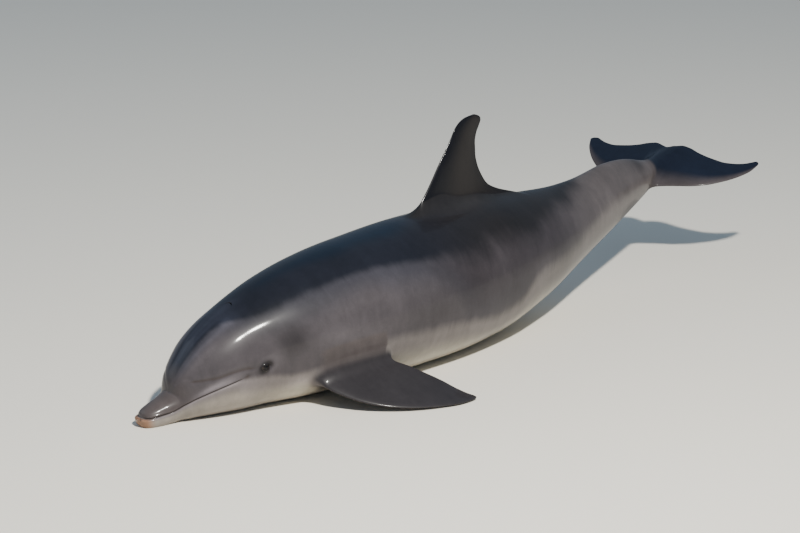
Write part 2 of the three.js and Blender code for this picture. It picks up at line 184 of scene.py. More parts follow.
# reach of the plain form at an angle from straight up: jaws and body, blended where they cross
def plainReach(s, angle):
    level = axisHeight(s)
    powers = [roundTop(s), roundBottom(s)]
    jaws = ovalReach(angle, jawWidth(s), jawTop(s) - level, level - jawBottom(s), *powers)
    jaws = np.where(s < bodyForm["jawsEnd"], jaws, 0)
    trunk = ovalReach(angle, bodyWidth(s), bodyTop(s) - level, level - bodyBottom(s), *powers)
    blend = bodyForm["creaseBlend"]
    overlap = np.maximum(blend - np.abs(trunk - jaws), 0) / blend
    joined = np.maximum(trunk, jaws) + overlap ** 2 * blend * 0.25
    return np.where(s > bodyForm["girthStart"], joined, jaws)


def reachAt(station, angle):
    return float(plainReach(np.array([float(station)]), np.array([float(angle)]))[0])


# the angle from straight up at which the plain form reaches a height, found by halving
halvings = 34


def angleAt(s, height):
    low = np.zeros_like(s)
    high = np.full_like(s, math.pi)
    for _ in range(halvings):
        middle = (low + high) / 2
        above = axisHeight(s) + plainReach(s, middle) * np.cos(middle) > height
        low = np.where(above, middle, low)
        high = np.where(above, high, middle)
    return (low + high) / 2


def layOut():
    form = spineBend
    s = np.arange(0, form["end"] + form["step"], form["step"], dtype=float)

    def angleOf(name):
        angle, start, stop = form[name]
        return math.radians(angle) * coming(s, (start, stop - start))

    def angleLeft(name):
        return math.radians(form[name][0]) - angleOf(name)
    lift = angleOf("tailLift") + angleOf("flukeLift") + angleLeft("headDip")
    turn = angleOf("tailTurn") + angleLeft("headTurn")
    roll = angleOf("tailRoll")[:, None]
    along = np.stack([np.cos(lift) * np.cos(turn), np.cos(lift) * np.sin(turn), np.sin(lift)], 1)
    level = np.stack([-np.sin(turn), np.cos(turn), np.zeros_like(turn)], 1)
    upright = np.cross(along, level)
    side = level * np.cos(roll) + upright * np.sin(roll)
    up = upright * np.cos(roll) - level * np.sin(roll)
    place = np.zeros_like(along)
    place[1:] = np.cumsum((along[1:] + along[:-1]) * form["step"] / 2, axis=0)
    home = place[form["originStation"] // form["step"]].copy()
    place += np.array([0, 0, form["height"]]) - home
    return place, along, side, up


spine = layOut()


# carries points of the straight animal onto the bent spine
def bend(straight):
    station, side, height = straight[..., 0], straight[..., 1], straight[..., 2]
    s = np.clip(station, 0, spineBend["end"] - 0.001)
    i = (s // spineBend["step"]).astype(int)
    t = (s / spineBend["step"] - i)[..., None]
    place, along, sideways, up = [part[i] * (1 - t) + part[i + 1] * t for part in spine]
    return place + along * (station - s)[..., None] + sideways * side[..., None] + up * height[..., None]


# and back again
def unbend(world):
    place, along, sideways, up = spine
    flat = world.reshape(-1, 3)
    near = np.array([np.argmin(((place - p) ** 2).sum(1)) for p in flat])
    offset = flat - place[near]
    station = near * spineBend["step"] + (offset * along[near]).sum(1)
    straight = np.stack([station, (offset * sideways[near]).sum(1), (offset * up[near]).sum(1)], 1)
    return straight.reshape(world.shape)


# what touches the ground flattens softly on it
groundForm = {"softness": 2.0, "below": 40}


def settle(world):
    z = world[..., 2]
    softness = groundForm["softness"]
    settled = (z + np.sqrt(z * z + softness * softness)) / 2
    return np.concatenate([world[..., :2], np.where(z < groundForm["below"], settled, z)[..., None]], -1)


eyeForm = {
    "station": 353, "height": -23, "openingHalfLength": 12.5, "openingHalfHeight": 7.2, "cornerPinch": 0.12,
    "lowerLid": 0.92, "tilt": -6, "lidThickness": 1.5, "lidReach": 25, "openingMargin": 38, "squash": 0.86,
    "swell": 2.6, "swellSize": 24, "stepBack": 30, "patchRings": 7, "lidRings": 18,
    "lidOverlap": (1.12, 1.02), "lidGap": 0.2, "lidPull": 0.8,
    "lidCrease": {"at": 0.56, "width": 0.13, "least": 0.25},
    "lidRoll": {"at": 0.84, "width": 0.12, "rise": 0.6}, "lidStart": 0.3,
    # the last column is the painted shade of the fold at the lid's edge
    "lidEdge": [  # height over the ball, size of the opening, how deep in a fold
        (1.125, 1.04, 0.2), (0.45, 1.0, 0.6), (0.35, 1.03, 1), (0.3, 1.12, 1)],
    "cupGap": 0.3, "cupRings": 6,
}
eyeStation = np.array([float(eyeForm["station"])])
eyeAngle = float(angleAt(eyeStation, np.array([float(eyeForm["height"])]))[0])


# angle from straight up of a line along the head, at each station
def lineAngle(form):
    places = np.arange(0.0, form["end"] + 1, 2)
    angles = angleAt(places, curve(form["line"])(places))
    return lambda s: np.interp(s, places, angles)


mouthAngle = lineAngle(mouthForm)
grooveAngle = lineAngle(grooveForm)


# folds and swellings of the living skin over the plain form: reach, and how deep in a fold each point is, as
# a share of painted shade
def skinReach(s, signedAngle):
    angle = np.abs(signedAngle)
    reach = plainReach(s, angle)
    mouth, corner, groove = mouthForm, mouthForm["corner"], grooveForm
    away = (angle - mouthAngle(s)) * reach
    parted = coming(s, mouth["opening"]) * going(s, mouth["closing"])
    depth = np.minimum(mouth["depth"], reach * mouth["mostOfReach"]) * parted
    gap = depth * bump(away, mouth["halfGap"])
    lipAway, spread = mouth["lipAway"], mouth["lipSpread"]
    lips = mouth["lipSwell"] * parted * (bump(away - lipAway, spread) + bump(away + lipAway, spread))
    cornerAway = np.hypot(s - corner["station"], away * corner["squash"])
    cornerDent = corner["depth"] * bump(cornerAway, corner["size"])
    # fold over the upper lip
    above = (angle - grooveAngle(s)) * reach
    run = coming(s, groove["coming"]) * going(s, groove["going"])
    fold = groove["depth"] * run * bump(above, groove["halfGap"])
    ridge = groove["ridge"] * run * bump(above - groove["ridgeAway"], groove["ridgeSpread"])
    # crease round the root of the beak, and a low swelling of the lids
    root = foldForm["beakRoot"]
    creaseAt = root["station"] + root["sweep"] * ease(angle / root["sweepAngle"])
    crease = root["depth"] * bump(s - creaseAt, root["width"]) * going(angle, root["going"])
    crease = np.where(s < root["end"], crease, 0)
    eyeAway = np.hypot(s - eyeForm["station"], (angle - eyeAngle) * reach)
    lids = eyeForm["swell"] * bump(eyeAway, eyeForm["swellSize"])
    # slit and navel under the belly
    under = (math.pi - angle) * reach
    slit, navel = foldForm["slit"], foldForm["navel"]
    slitDent = slit["depth"] * bump(under, slit["halfWidth"])
    slitDent = slitDent * coming(s, slit["coming"]) * going(s, slit["going"])
    navelAway = np.hypot((s - navel["station"]) / navel["stretch"], under)
    navelDent = navel["depth"] * bump(navelAway, navel["size"])
    dent = gap + fold + cornerDent + crease + slitDent + navelDent
    # painted shade in the mouth's gap and the lip groove, from how deep they are
    mouthShade = mouth["frontShade"] + (1 - mouth["frontShade"]) * coming(s, mouth["shading"])
    inMouth = gap / mouth["depth"] * mouthShade
    inGroove = groove["shade"] * (fold + cornerDent) / groove["shadedDepth"]
    return reach + lips + ridge + lids - dent, np.clip(inMouth + inGroove, 0, 1)


# skin point for a station and an angle from straight up, plus toward +Y
def skinStraight(s, signedAngle):
    reach, _ = skinReach(s, signedAngle)
    upper = np.abs(signedAngle) <= mouthAngle(s) + mouthForm["edgeAngle"]
    setBack = np.where(upper, mouthForm["lowerReach"] * going(s, (0, mouthForm["lowerFade"])), 0)
    side = reach * np.sin(signedAngle)
    height = axisHeight(s) + reach * np.cos(signedAngle)
    sweep = forkLobe(np.abs(side)) * coming(s, forkForm["sweep"])
    return np.stack([s + setBack + sweep, side, height], -1)


# the grid: rings of the body at chosen stations, rows that follow the mouth and the lip groove
def ringStations():
    places = [0.0]
    for start, stop, step in gridForm["spans"]:
        count = max(1, round((stop - start) / step))
        places += [start + (stop - start) * (k + 1) / count for k in range(count)]
    return np.array(places)


def rowAngles(s):
    rows = gridForm["halfRows"]
    even = np.arange(rows + 1) / rows * math.pi
    pinch = np.array(gridForm["pinch"])
    crowding = gridForm["pinchRoom"]
    first = gridForm["mouthRow"] - len(pinch) // 2
    anchors = [0, gridForm["grooveRow"]] + [first + k for k in range(len(pinch))] + [rows]
    head = np.zeros((len(s), rows + 1))
    for i, station in enumerate(s):
        mouth = float(mouthAngle(station))
        groove = float(grooveAngle(station))
        reach = reachAt(station, mouth)
        squeeze = min(1, (mouth - groove) * reach / crowding, reach / crowding)
        lines = [0, groove, *(mouth + pinch * squeeze / reach), math.pi]
        head[i] = np.interp(np.arange(rows + 1), anchors, lines)
    fade = ease((s - mouthForm["end"]) / mouthForm["settle"])[:, None]
    body = head + (even[None, :] - head) * fade
    return alignTail(s, body)


# outlines: dorsal fin, flukes, flippers
finForm = {
    "outline": [  # share of the height, leading station and height, trailing ones, half thickness
        [0, 1024, 150, 1600, 150, 27], [0.1, 1042, 176, 1530, 176, 23], [0.17, 1056, 190, 1490, 190, 21],
        [0.23, 1068, 205, 1450, 206, 19.5], [0.31, 1091, 227, 1411, 228, 18],
        [0.4, 1122, 260, 1384, 262, 16], [0.5, 1150, 294, 1366, 296, 14.5], [0.6, 1177, 328, 1358, 330, 13],
        [0.7, 1207, 362, 1358, 364, 11], [0.8, 1237, 396, 1366, 392, 9], [0.88, 1262, 427, 1381, 412, 7],
        [0.95, 1293, 445, 1392, 430, 5], [1, 1330, 453, 1383, 446, 3]],
    "hole": (1000, 1612, -12, 12), "fillet": (22, 48), "pull": 1.05, "filletRings": 10,
    "kind": 0, "rings": 30, "ringPower": 0.9, "tipFrom": 0.965, "tip": 1, "span": 1,
}
flukeForm = {
    "outline": [  # distance out, leading station, trailing station, half thickness
        [4, 2285, 2496, 19], [14, 2291, 2503, 18.5], [26, 2297, 2511, 18], [48, 2306, 2516, 17],
        [75, 2317, 2512, 16], [110, 2330, 2500, 14], [150, 2346, 2493, 12], [190, 2370, 2491, 10],
        [225, 2401, 2499, 8], [255, 2434, 2514, 6], [278, 2468, 2532, 4.5], [290, 2491, 2541, 3.4],
        [298, 2515, 2544, 2.2]],
    "span": 300, "pitch": 12.2, "middle": 2400, "drop": -12,
    "left": {"tipSag": -78, "power": 1.4, "twist": -2.3, "tipTrim": -4},
    "right": {"tipSag": 8, "power": 2, "twist": 6.4, "tipTrim": 16},
    "trimFrom": 262, "trimOver": 34,
    "hole": (2286, 2495), "inset": (14, 10), "rows": (37, 53), "root": 54, "rearBlend": 50,
    "gather": {"from": 2080, "out": 30.0, "above": 20, "below": 11, "width": 0.5, "height": 0.88},
    "pull": 0.9, "filletRings": 10, "kind": 1, "rings": 31, "ringPower": 0.85, "tipFrom": 285, "tip": 298,
}
flipperForm = {
    "outline": [  # share of the length, leading x y z, trailing x y z, half thickness
        [0, -386, 70, 100, -196, 78, 126, 19], [0.22, -384, 150, 68, -172, 165, 108, 18],
        [0.4, -346, 238, 36, -128, 222, 88, 15], [0.55, -290, 306, 19, -95, 268, 66, 12.5],
        [0.7, -222, 360, 11, -66, 312, 44, 9.5], [0.82, -155, 394, 8, -47, 350, 25, 7],
        [0.92, -94, 413, 6, -32, 382, 13, 5], [1, -42, 416, 5, -18, 403, 7, 2.6]],
    "leftShift": (-14, -22), "rightShift": (-20, 34), "heading": (0.6, 0.8, -0.2),
    "probeCells": (14, 24), "margin": 60, "fillet": (34, 42), "pull": 1.1, "filletRings": 12,
    "kind": 2, "rings": 32, "ringPower": 0.9, "tipFrom": 0.95, "tip": 1, "span": 1,
}
foilForm = {"fullness": 1.804, "thinning": 1.05, "tail": 0.08, "nose": 0.02, "crowding": 0.04}


def foilThickness(chord):
    form = foilForm
    return form["fullness"] * np.sqrt(chord) * (1 - chord) ** form["thinning"] + form["tail"] * chord


# chord share and signed thickness share of points round a fin, from the nose over one face and back
def foilLoop(noseCells, longCells):
    half = noseCells // 2
    nose, crowding, tailThick = foilForm["nose"], foilForm["crowding"], foilForm["tail"]
    first = nose * (np.arange(half) / half) ** 2
    along = crowding + (1 - crowding) * np.arange(longCells) / longCells
    face = nose + (1 - nose) * (1 - np.cos(np.pi * along)) / 2
    face = nose + (face - face[0]) / (1 - face[0]) * (1 - nose)
    tail = tailThick * (1 - np.arange(half) / half)
    upperChord = np.concatenate([first, face, np.ones(half)])
    upperThick = np.concatenate([foilThickness(first), foilThickness(face), tail])
    chord = np.concatenate([upperChord, [1], upperChord[:0:-1]])
    thick = np.concatenate([upperThick, [0], -upperThick[:0:-1]])
    return chord, thick


def finStraight(share, chord, thick):
    front, frontRise, back, backRise, half = [curve(finForm["outline"], k)(share) for k in (1, 2, 3, 4, 5)]
    station = front + (back - front) * chord
    return np.stack([station, half * thick, frontRise + (backRise - frontRise) * chord], -1)


def bladeHeight(blade, station, out):
    form = flukeForm
    share = out / form["span"]
    middle = (curve(form["outline"], 1)(out) + curve(form["outline"], 2)(out)) / 2
    twist = (station - middle) * np.tan(np.radians(blade["twist"]) * share)
    pitch = (station - form["middle"]) * math.tan(math.radians(form["pitch"]))
    return form["drop"] + blade["tipSag"] * share ** blade["power"] + twist + pitch


def flukeStraight(side, out, chord, thick):
    blade = flukeForm["left" if side < 0 else "right"]
    front, back, half = [curve(flukeForm["outline"], k)(out) for k in (1, 2, 3)]
    back = back - blade["tipTrim"] * ease((out - flukeForm["trimFrom"]) / flukeForm["trimOver"])
    station = front + (back - front) * chord
    height = bladeHeight(blade, station, out) + half * thick
    return np.stack([station, side * out, height], -1)


def flipperWorld(side, share, chord, thick):
    shift = flipperForm["leftShift" if side < 0 else "rightShift"]
    columns = [curve(flipperForm["outline"], k)(share) for k in range(1, 8)]
    lead = np.stack([columns[0] + shift[0], side * columns[1] + shift[1], columns[2]], -1)
    trail = np.stack([columns[3] + shift[0], side * columns[4] + shift[1], columns[5]], -1)
    back, out, rise = flipperForm["heading"]
    normal = unit(np.cross(trail - lead, np.array([back, out * side, rise])))
    normal = normal * np.sign(normal[..., 2:3])
    point = lead + (trail - lead) * chord[..., None]
    return point + normal * (columns[6] * thick)[..., None]


# rows of the tail gather round the root of the flukes
def alignTail(s, angles):
    form, gather = flukeForm, flukeForm["gather"]
    rows = gridForm["halfRows"]
    top, bottom = form["rows"]
    start = form["hole"][0]
    tailStation = np.clip(s, start, bodyForm["end"])
    lead, trail, half = [float(curve(form["outline"], k)(gather["out"])) for k in (1, 2, 3)]
    chord = np.clip((tailStation - lead) / (trail - lead), 0, 1)
    blade = form["drop"] + (tailStation - form["middle"]) * math.tan(math.radians(form["pitch"]))
    thick = foilThickness(chord) * half
    upper = angleAt(tailStation, blade + thick + gather["above"])
    lower = angleAt(tailStation, blade - thick - gather["below"])
    width, level = bodyWidth(tailStation) * gather["width"], axisHeight(tailStation)
    upper = np.maximum(upper, np.arctan2(width, (bodyTop(tailStation) - level) * gather["height"]))
    least = np.arctan2(width, (level - bodyBottom(tailStation)) * gather["height"])
    lower = np.minimum(lower, math.pi - least)
    tail = angles.copy()
    for i in range(len(s)):
        tail[i] = np.interp(np.arange(rows + 1), [0, top, bottom, rows], [0, upper[i], lower[i], math.pi])
    gathered = coming(s, (gather["from"], start - gather["from"]))[:, None]
    return angles + (tail - angles) * gathered


stations = ringStations()
halfAngles = rowAngles(stations)
halfRows = gridForm["halfRows"]
around = 2 * halfRows
print("grid", len(stations), "rings of", around)


class Skin:
    def __init__(self):
        self.straight, self.world, self.fold, self.limb, self.faces = [], [], [], [], []
        self.count = 0

    # points, on the bent spine unless placed in the world, with what the colours need to know of them
    def add(self, straight, world=None, fold=0, limb=(0, 0, 0)):
        straight = np.asarray(straight, float).reshape(-1, 3)
        world = bend(straight) if world is None else np.asarray(world).reshape(-1, 3)
        count = len(straight)
        self.straight.append(straight)
        self.world.append(settle(world))
        self.fold.append(fold * np.ones(count))
        self.limb.append(np.array(limb) * np.ones((count, 3)))
        self.count += count
        return np.arange(self.count - count, self.count)

    # one more ring, joined to the last
    def ring(self, last, straight, **more):
        ids = self.add(straight, **more)
        for k in range(len(ids)):
            following = (k + 1) % len(ids)
            self.faces.append((last[k], last[following], ids[following], ids[k]))
        return ids

    # closes a ring on one point
    def fan(self, ids, straight, **more):
        pole = self.add([straight], **more)[0]
        for k in range(len(ids)):
            self.faces.append((ids[k], ids[(k + 1) % len(ids)], pole))


skin = Skin()


def signedAngle(i, row):
    wrapped = (row + halfRows) % around - halfRows
    return math.copysign(halfAngles[i, abs(wrapped)], wrapped) if wrapped else 0.0


def ringNear(s):
    return int(np.argmin(np.abs(stations - s)))


# rows that lie above one angle and below another all the way between two rings, an even number apart
def rowsAround(i0, i1, low, high):
    angles = halfAngles[i0:i1 + 1]
    top = int(np.nonzero((angles <= low).all(0))[0][-1])
    bottom = int(np.nonzero((angles >= high).all(0))[0][0])
    return top, bottom + (bottom - top) % 2


# (ring, row) pairs round a rectangular opening, from the middle of its front edge
def openingLoop(i0, i1, firstRow, lastRow):
    step = 1 if lastRow > firstRow else -1
    middle = (firstRow + lastRow) // 2
    loop = [(i0, row) for row in range(middle, lastRow, step)]
    loop += [(i, lastRow) for i in range(i0, i1)]
    loop += [(i1, row) for row in range(lastRow, firstRow, -step)]
    loop += [(i, firstRow) for i in range(i1, i0, -1)]
    loop += [(i0, row) for row in range(firstRow, middle, step)]
    return loop


openedCells = set()


# takes the cells of an opening out of the grid, and gives the loop round it
def openCells(i0, i1, firstRow, lastRow):
    low, high = sorted((firstRow, lastRow))
    for i in range(i0, i1):
        for row in range(low, high):
            openedCells.add((i, row % around))
    return openingLoop(i0, i1, firstRow, lastRow)


def loopIds(loop):
    return np.array([gridIds[i, row % around] for i, row in loop])


def loopPlaces(loop):
    return np.array([[stations[i], signedAngle(i, row)] for i, row in loop])


def addGridPoints():
    signed = np.concatenate([halfAngles[:, :-1], -halfAngles[:, :0:-1]], axis=1)
    s = np.repeat(stations[:, None], around, 1)
    ids = skin.add(skinStraight(s, signed), fold=skinReach(s, signed)[1].reshape(-1))
    return ids.reshape(len(stations), around)


gridIds = addGridPoints()


# the lower jaw's tip: its rings are (size, station)
snoutForm = {"height": -75, "rings": ((0.8, -0.6), (0.4, -1.2)), "pole": -1.4}


def closeSnout():
    form = snoutForm
    centre = np.array([0, 0, float(form["height"])])
    first = skin.straight[0][gridIds[0]]
    ids = gridIds[0]
    for size, station in form["rings"]:
        ring = centre + (first - centre) * size
        ring[:, 0] = station
        ids = skin.ring(ids, ring)
    skin.fan(ids, [form["pole"], 0, form["height"]])


# the notch between the flukes: top rows meet bottom rows over a middle line, out to the flukes' roots
def closeNotch():
    end = gridIds[-1]
    top, bottom = flukeForm["rows"]
    lift = np.array([forkForm["middleLift"], 0, 0])

    def between(a, b):
        return skin.add([(skin.straight[0][a] + skin.straight[0][b]) / 2 + lift])[0]
    centreId = between(end[0], end[halfRows])
    for sign in (1, -1):
        upper = [end[(sign * k) % around] for k in range(top + 1)]
        lower = [end[(sign * (halfRows - k)) % around] for k in range(top + 1)]
        middles = [centreId] + [between(upper[k], lower[k]) for k in range(1, top + 1)]
        for k in range(top):
            skin.faces.append((upper[k], upper[k + 1], middles[k + 1], middles[k]))
            skin.faces.append((middles[k], middles[k + 1], lower[k + 1], lower[k]))
        for k in range(top, bottom):
            skin.faces.append((end[(sign * k) % around], end[(sign * (k + 1)) % around], middles[-1]))


def joinGrid():
    for i in range(len(stations) - 1):
        for row in range(around):
            if (i, row) not in openedCells:
                nextRow = (row + 1) % around
                cell = (gridIds[i, row], gridIds[i, nextRow], gridIds[i + 1, nextRow], gridIds[i + 1, row])
                skin.faces.append(cell)


# rings of skin from an opening in the grid to a smooth loop of (station, angle) places inside it
def patch(loop, target, rings):
    ids = loopIds(loop)
    places = loopPlaces(loop)
    for r in range(1, rings + 1):
        s, angle = (places + (target - places) * (r / rings)).T
        ids = skin.ring(ids, skinStraight(s, angle), fold=skinReach(s, angle)[1])
    return ids


# a loop of (station, angle) places on the skin, and the way from it to a loop close inside
def skinEdge(outer, inner):
    straight = skinStraight(outer[:, 0], outer[:, 1])
    world = bend(straight)
    toward = bend(skinStraight(inner[:, 0], inner[:, 1])) - world
    return straight, world, toward


def hermite(p0, t0, p1, t1, t):
    return (p0 * (2 * t ** 3 - 3 * t ** 2 + 1) + t0 * (t ** 3 - 2 * t ** 2 + t)
            + p1 * (-2 * t ** 3 + 3 * t ** 2) + t1 * (t ** 3 - t ** 2))


# rounded join between two loops, each given as its straight points, its world points and its direction
def fillet(ids, skinSide, limbSide, rings, marks):
    straight0, world0, toward0 = skinSide
    straight1, world1, toward1 = limbSide
    for r in range(1, rings + 1):
        t = r / (rings + 1)
        world = hermite(world0, toward0, world1, toward1, t)
        straight = straight0 + (straight1 - straight0) * t
        ids = skin.ring(ids, straight, world=world, limb=marks * np.array([1, 1, t]))
    return ids


# closes the tip of a limb: one face to the other over a slightly raised middle line
def closeTip(ids, lift):
    count = len(ids)
    straight, world, limb = skin.straight[-1], skin.world[-1], skin.limb[-1]
    half = count // 2
    middles = [ids[0]]
    for k in range(1, half):
        s = (straight[k] + straight[count - k]) / 2
        w = (world[k] + world[count - k]) / 2 + lift
        middles.append(skin.add([s], world=[w], limb=[limb[k]])[0])
    middles.append(ids[half])
    for k in range(half):
        upper = ids[k], ids[k + 1], middles[k + 1], middles[k]
        lower = ids[(count - k) % count], middles[k], middles[k + 1], ids[count - k - 1]
        skin.faces += [tuple(dict.fromkeys(face)) for face in (upper, lower)]


growth = {"patchRings": 4, "step": 0.01, "farthestRoot": 0.6, "shares": 151, "kindRange": 0.99}


# what the colours need to know of a limb: which one, with the share out at its root on the fillet and at its
# tip past it, then the place along the chord, and how far onto the limb
def limbMarks(kind, share, chord):
    return np.stack([kind + share * growth["kindRange"] + 0 * chord, chord, 1 + 0 * chord], -1)


tipForm = {"leans": [18, 34, 48, 60, 70, 78], "narrowing": 0.75, "thinning": 0.4}


# rings of a limb from its root to its rounded tip
def loftLimb(ids, form, root, chord, thick, straightAt, worldAt, lift):
    begin, stop = form["tipFrom"], form["tip"]
    steps = [(root + (begin - root) * (r / form["rings"]) ** form["ringPower"], 1, 1)
             for r in range(form["rings"] + 1)]
    for lean in np.radians(tipForm["leans"]):
        narrow, thin = math.cos(lean) ** tipForm["narrowing"], math.cos(lean) ** tipForm["thinning"]
        steps.append((begin + (stop - begin) * math.sin(lean) + 0 * chord, narrow, thin))
    marks = limbMarks(form["kind"], steps[-1][0] / form["span"], chord)
    for out, narrow, thin in steps:
        section = out, 0.5 + (chord - 0.5) * narrow, thick * thin
        ids = skin.ring(ids, straightAt(*section), world=worldAt(*section), limb=marks)
    closeTip(ids, np.array(lift))


# where each line along a limb leaves the skin, as (station, angle), and the share of the limb there
def crossing(limbStraight, chord, thick):
    shares = np.linspace(0, growth["farthestRoot"], growth["shares"])
    grid = [shares[:, None] + 0 * chord, chord + 0 * shares[:, None], thick + 0 * shares[:, None]]
    points = limbStraight(*grid)
    level = axisHeight(points[..., 0])
    angle = np.arctan2(points[..., 1], points[..., 2] - level)
    out = np.hypot(points[..., 1], points[..., 2] - level) - plainReach(points[..., 0], np.abs(angle))
    shareAt, places = [], []
    for k in range(len(chord)):
        inside = np.nonzero(out[:, k] < 0)[0]
        i = int(inside[-1]) if len(inside) else 0
        j = min(i + 1, len(shares) - 1)
        t = 0 if j == i else float(np.clip(out[i, k] / (out[i, k] - out[j, k]), 0, 1))
        shareAt.append(shares[i] + (shares[j] - shares[i]) * t)
        s = points[i, k, 0] * (1 - t) + points[j, k, 0] * t
        places.append([s, angle[i, k] * (1 - t) + angle[j, k] * t])
    return np.array(shareAt), np.array(places)


# moves a loop of places outward across the skin, by one distance at its ends and another along its sides
def widen(places, atEnds, alongSides):
    reach = float(plainReach(places[:, 0], np.abs(places[:, 1])).mean())
    flat = np.stack([places[:, 0], places[:, 1] * reach], 1)
    for _ in range(2):
        flat = (np.roll(flat, 1, 0) + 2 * flat + np.roll(flat, -1, 0)) / 4
    ahead = np.roll(flat, -2, 0) - np.roll(flat, 2, 0)
    normal = unit(np.stack([ahead[:, 1], -ahead[:, 0]], 1))
    area = (flat[:, 0] * np.roll(flat[:, 1], -1) - np.roll(flat[:, 0], -1) * flat[:, 1]).sum()
    normal *= math.copysign(1, area)
    shift = normal * np.array([atEnds, alongSides])
    moved = flat + shift
    return np.stack([moved[:, 0], moved[:, 1] / reach], 1), normal, reach, np.linalg.norm(shift, axis=1)


def growLimb(loop, noseCells, form, straightAt, worldAt, lift):
    longCells = (len(loop) - 2 * noseCells) // 2
    chord, thick = foilLoop(noseCells, longCells)
    shareAt, places = crossing(straightAt, chord, thick)
    target, normal, reach, distance = widen(places, *form["fillet"])
    ids = patch(loop, target, growth["patchRings"])
    inner = target - np.stack([normal[:, 0], normal[:, 1] / reach], 1)
    straight0, world0, toward = skinEdge(target, inner)
    step = growth["step"]
    speed = lengths(worldAt(shareAt + step, chord, thick) - worldAt(shareAt, chord, thick))[:, 0] / step
    root = shareAt + distance / np.maximum(speed, 1)
    world1 = worldAt(root, chord, thick)
    ahead = unit(worldAt(root + step, chord, thick) - world1)
    pull = lengths(world1 - world0) * form["pull"]
    skinSide = straight0, world0, toward * pull
    limbSide = straightAt(root, chord, thick), world1, ahead * pull
    ids = fillet(ids, skinSide, limbSide, form["filletRings"], limbMarks(form["kind"], root, chord))
    loftLimb(ids, form, root, chord, thick, straightAt, worldAt, lift)


def makeDorsalFin():
    start, stop, low, high = finForm["hole"]
    loop = openCells(ringNear(start), ringNear(stop), low, high)

    def worldAt(share, chord, thick):
        return bend(finStraight(share, chord, thick))
    growLimb(loop, high - low, finForm, finStraight, worldAt, (0.3, 0, 1.2))


def makeFlipper(side):
    def worldAt(share, chord, thick):
        return flipperWorld(side, share, chord, thick)

    def straightAt(share, chord, thick):
        return unbend(worldAt(share, chord, thick))
    s, angle = crossing(straightAt, *foilLoop(*flipperForm["probeCells"]))[1].T
    angle = np.abs(angle)
    margin = flipperForm["margin"]
    i0, i1 = ringNear(s.min() - margin), ringNear(s.max() + margin)
    angleMargin = margin / float(plainReach(s, angle).mean())
    top, bottom = rowsAround(i0, i1, angle.min() - angleMargin, angle.max() + angleMargin)
    loop = openCells(i0, i1, side * bottom, side * top)
    growLimb(loop, bottom - top, flipperForm, straightAt, worldAt, (0, 0, 0))


def makeFluke(side):
    form = flukeForm
    start, stop = form["hole"]
    i0, i1 = ringNear(start), ringNear(stop)
    top, bottom = form["rows"]
    loop = openCells(i0, i1, side * bottom, side * top)
    chord, thick = foilLoop(bottom - top, i1 - i0)
    places = loopPlaces(loop)
    reach = plainReach(places[:, 0], np.abs(places[:, 1]))
    # the loop on the skin runs toward the middle line of its opening
    middleRow = side * (top + bottom) // 2
    middleAngles = [signedAngle(i, middleRow) for i in range(len(stations))]
    front, rear = form["inset"]
    along = np.clip(places[:, 0], start + front, stop - rear) - places[:, 0]
    across = (np.interp(places[:, 0], stations, middleAngles) - places[:, 1]) * reach
    inward = unit(np.stack([along, across], 1))
    inner = places + np.stack([inward[:, 0], inward[:, 1] / reach], 1)
    straight0, world0, toward = skinEdge(places, inner)

    def straightAt(out, chord, thick):
        return flukeStraight(side, out, chord, thick)

    def worldAt(out, chord, thick):
        return bend(straightAt(out, chord, thick))
    root = np.full(len(chord), float(form["root"]))
    world1 = worldAt(root, chord, thick)
    ahead = worldAt(root + 1, chord, thick) - world1
    span = lengths(world1 - world0)
    atRear = coming(places[:, 0], (stop - form["rearBlend"], form["rearBlend"]))[:, None]
    toward = toward * (1 - atRear) + (world1 - world0) / span * atRear
    pull = span * form["pull"]
    marks = limbMarks(form["kind"], root / form["span"], chord)
    limbSide = straightAt(root, chord, thick), world1, ahead * pull
    ids = fillet(loopIds(loop), (straight0, world0, toward * pull), limbSide, form["filletRings"], marks)
    loftLimb(ids, form, root, chord, thick, straightAt, worldAt, (0.5, side, 0))


# centre of an eye, its directions out of the socket, toward the tail and up, and its radius
def eyeSocket(side):
    low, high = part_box("eye_left" if side < 0 else "eye_right")
    centre = np.array((low + high) / 2) / metre
    radius = max(high[k] - low[k] for k in range(3)) / metre / 2
    surface = bend(skinStraight(eyeStation, np.array([side * eyeAngle]))[0])
    outward = unit(surface - centre)
    station = eyeForm["station"]
    back = bend(np.array([station + eyeForm["stepBack"], 0.0, 0])) - bend(np.array([station, 0.0, 0]))
    back = unit(back - outward * (back @ outward))
    up = np.cross(outward, back) * side
    return centre, outward, back, up * math.copysign(1, up[2]), radius


